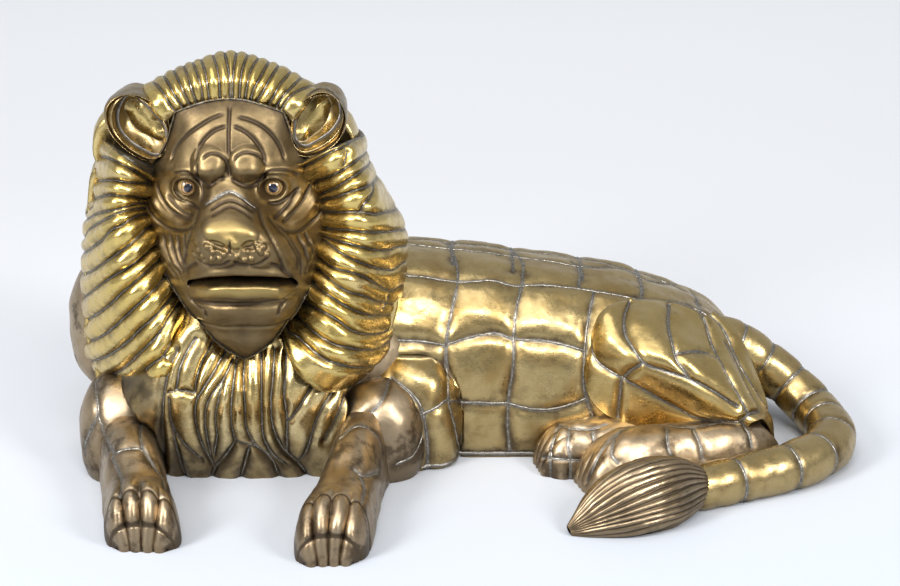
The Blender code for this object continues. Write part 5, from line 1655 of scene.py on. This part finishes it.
@dataclass
class Limb:
    """A leg on the floor: arched sections along it, toes at its end."""

    name: str
    stations: list
    seams: list
    toes: float
    gold: float = 0.22
    knuckle_at: float = 0.0
    nail_at: float = 0.0
    around: int = 120
    power: float = 2.6
    steps: int = 12

    def skin(self) -> Skin:
        """The leg with toes, seams and hammer marks."""
        keys = np.array(self.stations, float)
        place = np.linspace(0, len(keys) - 1, len(keys) * self.steps)
        x, y, half, high, heading, share = smooth(np.arange(len(keys)), keys, place).T
        a = np.linspace(-1, 1, self.around)
        e = 2.0 / self.power
        side = bend(np.sin(a * math.pi / 2), e)
        rise = np.abs(np.cos(a * math.pi / 2)) ** e
        turn = np.radians(heading)
        share = clip(share)
        lobe = np.abs(np.sin(np.clip(side, -1, 1) * 2 * math.pi)) ** 0.62
        swell = self.toes * share[:, None] * (lobe - 0.55)[None, :]
        flat = np.minimum(1.0, np.maximum(high, 0) / 12.5)
        nail = ease(place, self.nail_at, self.nail_at + 0.22)[:, None] if self.nail_at else 0.0
        swell = swell * (1 - 0.45 * nail) - 0.45 * nail * share[:, None]
        up = high[:, None] * rise + 0.4 * (1 - rise) + swell * rise * np.minimum(1.0, high / 8.0)[:, None]
        reach = swell * (1.0 - flat)[:, None] * 1.6
        wide = half[:, None] * side
        cos, sin = np.cos(turn)[:, None], np.sin(turn)[:, None]
        grid = np.stack([x[:, None] + cos * wide + sin * reach, y[:, None] + sin * wide - cos * reach, up],
                        axis=2)
        skirt = grid[:, [0, -1]].copy()
        skirt[:, :, 2] = -1.0
        grid = np.concatenate([skirt[:, :1], grid, skirt[:, 1:]], axis=1)
        tip = grid[-1:].copy()
        tip[:, :, 2] = np.minimum(tip[:, :, 2], -1.0)
        grid = np.concatenate([grid, tip], axis=0)
        skin = Skin(grid, (x.mean(), y.mean(), 2.0))
        skin.work(Kind.SEAM, 0.35, -0.18, self.seams)
        skin.puff(0.35, 1.6, 0.1, 51)
        full = np.pad(lobe, 1)[None, :] * np.append(share, 0)[:, None]
        skin.groove_and_shade = clip((0.55 - full) * 1.6) * ease(np.append(share, 0), 0.3, 0.8)[:, None]
        for at, rounding in ((self.knuckle_at, -0.34), (self.nail_at, 0.10)):
            if at:
                away = np.append(place, place[-1])[:, None] - at
                line = bump(away - rounding * np.pad(lobe, 1)[None, :], 0.10)
                skin.height -= 0.24 * line
                skin.groove_and_shade = np.maximum(skin.groove_and_shade, 0.8 * line)
        skin.gold[:] = self.gold
        skin.hammer(0.10, 4.5, 61)
        skin.height[-1], skin.height[:, 0], skin.height[:, -1] = 0, 0, 0
        return skin.settle(1)


class Trunk:
    """Rounded masses that the mane and the shoulders lie on: the back of the chest and the head."""

    CHEST = ((0.0, 20.0, 8.0), (32.0, 25.5, 30.0), 2.6)
    HEAD = ((1.0, 6.0, 50.0), (23.0, 13.0, 30.0), 2.0)
    LEVELS = (11.0, 22.0)       # cm: heights of the chest's level seams
    SEAM = (Kind.SEAM, 0.4, -0.15)

    def build(self, brass: Material, solder: Material) -> None:
        """Make the panelled chest back, and the plain head under the locks, which is darkened all over with
        painted shade.
        """
        chest, head = ball_skin(*self.CHEST, 110, 176), ball_skin(*self.HEAD)
        (x, y, z), (a, b, c), power = self.CHEST
        turn = np.linspace(0, 2 * math.pi, 160)
        cos, sin = bend(np.cos(turn), 2.0 / power), bend(np.sin(turn), 2.0 / power)
        for height in self.LEVELS:
            wide = (1 - ((height - z) / c) ** power) ** (1 / power)
            ring = np.stack([x + a * wide * cos, y + b * wide * sin, np.full(len(turn), height)], axis=1)
            chest.work_line(ring, *self.SEAM)
        for column in range(5, chest.points.shape[1], 15):
            chest.work_line(chest.points[50:83, column], *self.SEAM)
        chest.puff(0.8, 3.0, 0.2, 91)
        # Painted shade: the plain head under the locks is darkened all over, so the gaps into it read as
        # shadow.
        head.gold[:], head.groove_and_shade[:] = 0.3, 0.9
        for skin in (chest, head):
            skin.hammer(0.12, 6.0, 92)
            skin.settle(2)
        chest.gold[:] = 0.35
        brass_piece("chest_back", [chest], brass)
        brass_piece("head_core", [head], brass)
        bead_piece("chest_solder", [chest], solder, 0.24, 0.13)


class Legs:
    """Forelegs with their arms and shoulders, and the two hind feet on the near side.

    Each leg is a list of stations along it: x, y, half width, height, heading in degrees and how far
    the toes have parted there, from 0 to 1.
    """

    ARMS = [((30.0, -1.0, 7.5), (9.2, 11.0, 12.6), 2.3), ((-23.6, 0.0, 7.5), (9.4, 12.0, 13.5), 2.4)]
    SHOULDERS = [((20, 12, 16), (18, 15, 18), 2.4), ((-21, 15, 27), (15.4, 14.5, 15.5), 2.6)]
    FORE_LEFT = [
        (31, 6, 7, 13, 12, 0), (28.6, -3, 6.7, 14.5, 16, 0), (26.5, -10, 5.9, 15.5, 14, 0),
        (25.3, -17, 5.5, 15.6, 10, 0), (24.4, -24, 5.7, 14, 8, 0), (23.5, -30, 6.2, 11.8, 6, 0),
        (22.7, -34.5, 6.9, 11.2, 5, 0), (22.1, -38.5, 7.1, 11.8, 4, 0.1), (21.8, -42, 7, 11.2, 4, 0.6),
        (21.5, -45.2, 6.5, 9, 3, 1), (21.3, -47, 5.5, 5.6, 3, 1), (21.3, -47.8, 4.3, 1.5, 3, 0.6)]
    FORE_RIGHT = [
        (-23, 4, 8, 13, -8, 0), (-22.4, -6, 7.2, 14.5, -12, 0), (-21.4, -13, 6.6, 15, -14, 0),
        (-19.6, -20, 6.9, 14.6, -14, 0), (-18.2, -26, 7.1, 12.6, -12, 0), (-17, -30.5, 7.2, 11.2, -10, 0),
        (-16.2, -34, 7.3, 11.6, -8, 0.1), (-15.7, -37.2, 7.3, 11.2, -6, 0.6), (-15.4, -39.8, 6.8, 9, -4, 1),
        (-15.3, -41.3, 5.8, 5.4, -4, 1), (-15.3, -41.9, 4.6, 1.5, -4, 0.6)]
    HIND_NEAR = [
        (113, 1, 3, 5, -70, 0), (109.5, -1.5, 5.2, 9, -74, 0), (104, -4, 6, 11, -80, 0),
        (97, -6.5, 6.2, 11.4, -80, 0), (90, -8.5, 6.3, 11.6, -80, 0), (84, -10, 6.5, 11.8, -78, 0),
        (79.5, -11.2, 6.8, 11.4, -76, 0), (76, -12.2, 6.4, 9.4, -74, 0.1), (73.4, -13, 5.4, 6, -72, 0.6),
        (71.8, -13.4, 4.2, 1.5, -72, 0.4)]
    HIND_FAR = [
        (92, 2, 5, 9, -84, 0), (84, 0, 5.4, 9.8, -82, 0), (77, -1.4, 5.8, 10.2, -80, 0),
        (71.5, -2.4, 6, 10, -78, 0), (67.2, -3.2, 5.8, 8.6, -76, 0.3), (64.6, -3.6, 4.9, 5.4, -76, 0.7),
        (63.4, -3.8, 3.8, 1.5, -76, 0.6)]
    FORE_LEFT_SEAMS = [
        [(308.4, 501.1), (324.6, 461.5), (342.2, 436.6), (353.9, 427.8), (365.6, 427.8), (377.4, 438),
         (381.1, 452.7)],
        [(353.9, 470.3), (362.7, 476.2), (377.4, 473.3)], [(359.8, 477.7), (364, 490), (361.2, 504.1)]]
    FORE_RIGHT_SEAMS = [
        [(104.4, 378.8), (116.3, 389.3), (128.9, 403.3), (141.6, 418.8), (154.2, 430), (164, 445.4),
         (170.3, 466.5)],
        [(103.7, 383.7), (100.2, 410.3), (105.1, 434.2), (114.9, 454.5)],
        [(141.6, 418.8), (140.2, 434.2), (142.3, 449.6)],
        [(112, 458), (120, 451.5), (128.9, 449), (142.3, 449.9), (148.6, 459.5), (160, 476), (166, 492)],
        [(112, 458), (118, 470), (122, 484), (120, 497)]]
    HIND_NEAR_SEAMS = [
        [(742, 423), (719, 423.7), (693, 427.6), (663.9, 426.3), (640, 426.5), (627.1, 428.6), (618, 433.9),
         (605.7, 446.4), (596.5, 461.7), (588.9, 481.6)],
        [(666.9, 429.1), (667, 440), (671.5, 458.2), (674.6, 466)],
        [(693, 429.1), (699.1, 442.9), (702.2, 458.6)], [(742, 423.7), (748.1, 433.7), (751.1, 446.4)],
        [(618, 434), (613.4, 445.9), (612, 455), (618, 463)]]
    HIND_FAR_SEAMS = [
        [(556, 424.6), (570.5, 428.6), (588.9, 429.8), (605.7, 425.5)],
        [(569.5, 428.8), (568.2, 445.9), (570, 459.7), (569.7, 478.5)],
        [(592, 430), (595, 444.4), (598.1, 456)], [(543, 457.5), (570.5, 459.7), (596, 460.5)],
        [(560, 427), (553.5, 441), (551, 457), (550.6, 478)]]
    ARM_SEAMS = [
        [(99, 362), (96, 385), (98, 414.5), (90, 432), (84.5, 446)], [(98, 414.5), (103, 430), (106, 446)],
        [(340, 401.4), (353.9, 386.7), (371.5, 378.6), (387.7, 377.9), (405.3, 389.6), (415.5, 404.3),
         (422.1, 420.4), (421.4, 438), (412.6, 455.6), (396, 464)],
        [(389.1, 380.8), (383.3, 398.4), (371.5, 413.1), (353.9, 426.3)], [(368.6, 415), (362.7, 427.8)]]

    def build(self, brass: Material, solder: Material) -> None:
        """Make the legs."""
        limbs = [Limb("foreleg_left", self.FORE_LEFT, self.FORE_LEFT_SEAMS, 2.4, 0.20, 8.1, 9.75),
                 Limb("foreleg_right", self.FORE_RIGHT, self.FORE_RIGHT_SEAMS, 2.4, 0.20, 7.6, 8.80),
                 Limb("hind_foot_near", self.HIND_NEAR, self.HIND_NEAR_SEAMS, 1.0, 0.30),
                 Limb("hind_foot_far", self.HIND_FAR, self.HIND_FAR_SEAMS, 1.0, 0.30)]
        skins = []
        for limb in limbs:
            skins.append(limb.skin())
            brass_piece(limb.name, skins[-1:], brass)
        arms = [ball_skin(*mass) for mass in self.ARMS + self.SHOULDERS]
        for skin in arms:
            skin.work(Kind.SEAM, 0.4, -0.15, self.ARM_SEAMS)
            skin.puff(0.5, 2.4, 0.15, 71)
            skin.gold[:] = 0.08
            skin.hammer(0.12, 6.0, 72)
            skin.settle(1)
        brass_piece("upper_arms", arms[:2], brass)
        brass_piece("shoulders", arms[2:], brass)
        bead_piece("leg_solder", skins + arms[:2], solder, 0.18, 0.10)


@dataclass
class Tail:
    """Tail in ringed segments, curled forward to a ribbed tuft."""

    path: tuple = (
        (102, 23, 19, 5.4), (107.2, 22.4, 17.6, 5.4), (112.9, 22.2, 14.0, 5.1), (119.2, 20.4, 9.4, 4.9),
        (124.0, 15.2, 5.6, 4.9), (126.0, 8.2, 4.6, 4.9), (125.3, 0.2, 4.5, 4.9), (121.2, -6.6, 4.5, 4.8),
        (114.8, -11.8, 4.4, 4.8), (107.2, -15.6, 4.2, 4.6), (99.9, -18.9, 4.0, 4.5), (93.6, -21.8, 4.0, 4.2),
        (90.0, -23.7, 4.0, 3.6))
    tuft_path: tuple = (
        (95.5, -21.6, 4.6, 3.0, 3.4), (93.4, -22.6, 4.9, 4.4, 4.8), (90.0, -24.4, 5.2, 6.2, 6.3),
        (86.0, -26.6, 5.3, 7.6, 7.0), (82.0, -28.6, 5.0, 7.9, 6.9), (78.0, -30.4, 4.2, 7.3, 6.2),
        (74.4, -31.9, 3.1, 5.6, 4.8), (71.2, -33.1, 1.9, 3.4, 3.1), (68.0, -34.2, 0.7, 1.1, 1.2))
    ring_places: tuple = (1.0, 2.0, 3.0, 3.9, 4.8, 5.8, 7.0, 8.1, 9.6, 11.2)
    around: int = 84
    rings: int = 260
    ribs: int = 26
    tuft_rings: int = 150

    def tube(self, keys: list, place: Array, angles: Array) -> Array:
        """Round rings along a path of (x, y, z, radius across, radius up)."""
        k = np.array(keys, float)
        if k.shape[1] == 4:
            k = np.concatenate([k, k[:, 3:4]], axis=1)
        knots = np.arange(len(k))
        p, ahead, behind = (smooth(knots, k, np.clip(place + d, 0, len(k) - 1)) for d in (0, 0.05, -0.05))
        run = unit((ahead - behind)[:, :3])
        side = unit(np.cross(run, (0, 0, 1.0)))
        up = np.cross(side, run)
        return (p[:, None, :3] + side[:, None] * (p[:, 3, None] * np.cos(angles))[:, :, None]
                + up[:, None] * (p[:, 4, None] * np.sin(angles))[:, :, None])

    def build(self, brass: Material, tuft_brass: Material, solder: Material) -> None:
        """Make the tail, the tuft and their solder rings."""
        angles, place = circle(self.around), np.linspace(0, len(self.path) - 1, self.rings)
        tail = Skin(self.tube(self.path, place, angles), (110, 5, 5), True)
        tail.turn, tail.normals = self._outward(tail)
        for at in self.ring_places:
            ring = self.tube(self.path, np.array([at]), np.append(angles, angles[0]))[0]
            tail.work_line(ring, *Trunk.SEAM)
        tail.puff(0.36, 2.0, 0.15, 81)
        tail.gold[:] = 0.40
        tail.hammer(0.10, 5.0, 82)
        tail.settle(2)
        angles, place = circle(self.ribs * 8), np.linspace(0, len(self.tuft_path) - 1, self.tuft_rings)
        tuft = Skin(self.tube(self.tuft_path, place, angles), (82, -28, 5), True)
        tuft.turn, tuft.normals = self._outward(tuft)
        drift = angles + 0.10 * np.sin(2 * angles + 1)
        drift = drift + 0.05 * np.sin(5 * angles[None, :] + 0.8 * place[:, None])
        ripple = np.abs(np.sin(drift * self.ribs / 2)) ** 0.8
        fine = np.abs(np.sin(drift * self.ribs * 1.5 + 0.6)) ** 0.8
        size = np.interp(place, [0, 1, 2, 4, 6, 7, 8], [0.1, 0.5, 0.75, 0.85, 0.7, 0.4, 0.1])
        tuft.height += size[:, None] * (0.9 * (ripple - 0.5) + 0.16 * (fine - 0.5))
        tuft.groove_and_shade = clip(0.85 - ripple * 1.2)
        tuft.gold[:] = 0.30
        tuft.hammer(0.06, 4.0, 83)
        tuft.settle()
        brass_piece("tail", [tail], brass)
        brass_piece("tail_tuft", [tuft], tuft_brass)
        bead_piece("tail_solder", [tail], solder, 0.24, 0.13)

    @staticmethod
    def _outward(skin: Skin) -> tuple[float, Array]:
        """Turn of the faces and normals of a tube, away from its own core."""
        core = skin.points.mean(axis=1, keepdims=True)
        raw = skin._normals(skin.points)
        turn = 1.0 if np.sum(raw * (skin.points - core)) > 0 else -1.0
        return turn, raw * turn


class Studio:
    """Pale floor, soft light and the camera of the photograph."""

    REACH = 14.0        # m: half size of the floor
    PAPER = ((0.388, 0.412, 0.452), (0.516, 0.524, 0.545), (0.700, 0.708, 0.725))     # front to back
    ROOM = (-0.7, 0.8, 0.40, 0.66)      # from and to along the room, dark and bright
    WALL = (0.93, 0.96, 1.0)
    SKY_LIGHT, SKY_WIDE, SKY_TILTS = 1.25, 50.0, (12.0, -14.0, 0.0)     # the last two in degrees
    BOXES = {
        "left_box": ((1.5, 2.2), 390, (-3.8, -3.6, 3.4), (-0.2, 0, 0.4)),
        "right_box": ((1.5, 2.2), 310, (3.8, -3.8, 3.6), (0.2, 0, 0.4)),
        "front_box": ((3.0, 0.8), 190, (0.2, -3.6, 5.0), (0.1, 0, 0.3))}

    def camera(self) -> None:
        """Stand the camera where the photograph was taken from."""
        data = bpy.data.cameras.new("camera")
        data.sensor_width = VIEW.sensor
        data.lens = VIEW.focal * VIEW.sensor / VIEW.width
        camera = put("camera", data)
        camera.location = DRAWING.place(np.array(VIEW.eye))
        camera.rotation_euler = (math.radians(90 - VIEW.pitch), 0, 0)
        data.clip_end = 60
        bpy.context.scene.camera = camera

    def lamp(self, name: str, size: tuple[float, float], power: float, place: Triple, target: Triple) -> None:
        """Rectangular soft box; its sizes and places are in metres."""
        data = bpy.data.lights.new(name, "AREA")
        data.shape, data.size, data.size_y, data.energy = "RECTANGLE", *size, power
        lamp = put(name, data)
        lamp.location = place
        lamp.rotation_euler = (Vector(target) - Vector(place)).to_track_quat("-Z", "Y").to_euler()

    def sun(self) -> None:
        """Broad even light from far away."""
        data = bpy.data.lights.new("sky_light", "SUN")
        data.energy, data.angle = self.SKY_LIGHT, math.radians(self.SKY_WIDE)
        put("sky_light", data).rotation_euler = tuple(math.radians(tilt) for tilt in self.SKY_TILTS)

    def floor(self) -> None:
        """Wide pale sweep under the figure."""
        mesh = bpy.data.meshes.new("studio_floor")
        r = self.REACH
        mesh.from_pydata([(-r, -r, 0), (r, -r, 0), (r, r, 0), (-r, r, 0)], [], [(0, 1, 2, 3)])
        floor = put("studio_floor", mesh)
        g = Graph("studio_paper")
        away = g.axis("Y")
        front, middle, back = (rgba(colour) for colour in self.PAPER)
        colour = g.blend(g.span(away, -0.8, 1.3), front, middle)
        colour = g.blend(g.span(away, 0.8, 5.0), colour, back)
        mesh.materials.append(g.finish({"Base Color": colour, "Roughness": 0.6, "Specular IOR Level": 0.2}))

    def world(self) -> None:
        """Bright walls behind, a darker room on the camera's side."""
        world = bpy.data.worlds.new("studio")
        bpy.context.scene.world = world
        world.use_nodes = True
        tree = world.node_tree
        place = tree.nodes.new("ShaderNodeTexCoord")
        apart = tree.nodes.new("ShaderNodeSeparateXYZ")
        tree.links.new(place.outputs["Generated"], apart.inputs[0])
        ramp = tree.nodes.new("ShaderNodeMapRange")
        tree.links.new(apart.outputs["Y"], ramp.inputs[0])
        for socket, number in zip(ramp.inputs[1:5], self.ROOM):
            socket.default_value = number
        back = tree.nodes["Background"]
        back.inputs["Color"].default_value = rgba(self.WALL)
        tree.links.new(ramp.outputs[0], back.inputs["Strength"])

    def build(self) -> None:
        """Set up camera, floor, lights and room."""
        self.camera()
        self.floor()
        self.world()
        self.sun()
        for name, values in self.BOXES.items():
            self.lamp(name, *values)
        bpy.context.scene.view_settings.view_transform = "Standard"


UNDERSIDE_TOP = 0.0005      # m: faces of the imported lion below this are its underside
UNDERSIDE_UP = 0.0004       # m: its height in the scene


def underside(material: Material) -> None:
    """Flat bottom sheet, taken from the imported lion's own underside."""
    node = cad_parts["lion"]
    work = bmesh.new()
    work.from_mesh(node.data)
    upper = [f for f in work.faces if max(v.co.z for v in f.verts) > UNDERSIDE_TOP]
    bmesh.ops.delete(work, geom=upper, context="FACES")
    mesh = bpy.data.meshes.new("underside_sheet")
    work.to_mesh(mesh)
    work.free()
    for vertex in mesh.vertices:
        vertex.co.z = UNDERSIDE_UP
    for key, number in zip(VALUES, (FAR, 0.5, 0.4, 0.3)):
        layer = mesh.attributes.new(key, "FLOAT", "POINT")
        layer.data.foreach_set("value", np.full(len(mesh.vertices), number, np.float32))
    dress(put("underside_sheet", mesh), material, "aged_brass", "lion")


FINISHES = (
    BrassFinish("mane_brass", (0.68, 0.54, 0.28), (0.45, 0.315, 0.125), (0.64, 0.475, 0.155),
                solder=(0.14, 0.125, 0.10), solder_half=0.20, smooth_rough=0.21, dull_rough=0.38,
                shade=1.25, stain=0.28),
    BrassFinish("body_brass", (0.460, 0.347, 0.160), (0.345, 0.235, 0.090), stain=0.36),
    BrassFinish("face_brass", (0.205, 0.148, 0.072), (0.155, 0.103, 0.048), (0.34, 0.248, 0.093),
                smooth_rough=0.37, dull_rough=0.56),
    BrassFinish("ear_brass", (0.36, 0.265, 0.125), (0.27, 0.185, 0.08), (0.60, 0.45, 0.17),
                smooth_rough=0.22, dull_rough=0.40),
    BrassFinish("leg_brass", (0.50, 0.39, 0.255), (0.385, 0.28, 0.165), smooth_rough=0.31,
                dull_rough=0.48, stain=0.60),
    BrassFinish("tuft_brass", (0.34, 0.26, 0.165), (0.25, 0.18, 0.10), shade=1.25),
    BrassFinish("rim_wire_brass", (0.80, 0.68, 0.42), (0.68, 0.54, 0.28), smooth_rough=0.16))


def main() -> None:
    """Build every sub-assembly, then the studio."""
    logging.basicConfig(level=logging.INFO, format="%(message)s")
    solder = SolderFinish().make()
    mane, body, head, ears, legs, tuft, wire = (finish.make() for finish in FINISHES)
    Face().build(head, solder)
    Eyes().build(EyeFinish().make())
    Mane().build(mane, solder)
    Ears().build(ears, wire)
    Trunk().build(body, solder)
    Torso().build(body, solder)
    Thigh().build(body, solder)
    Legs().build(legs, solder)
    Tail().build(body, tuft, solder)
    underside(body)
    Studio().build()


if __name__ == "__main__":
    main()
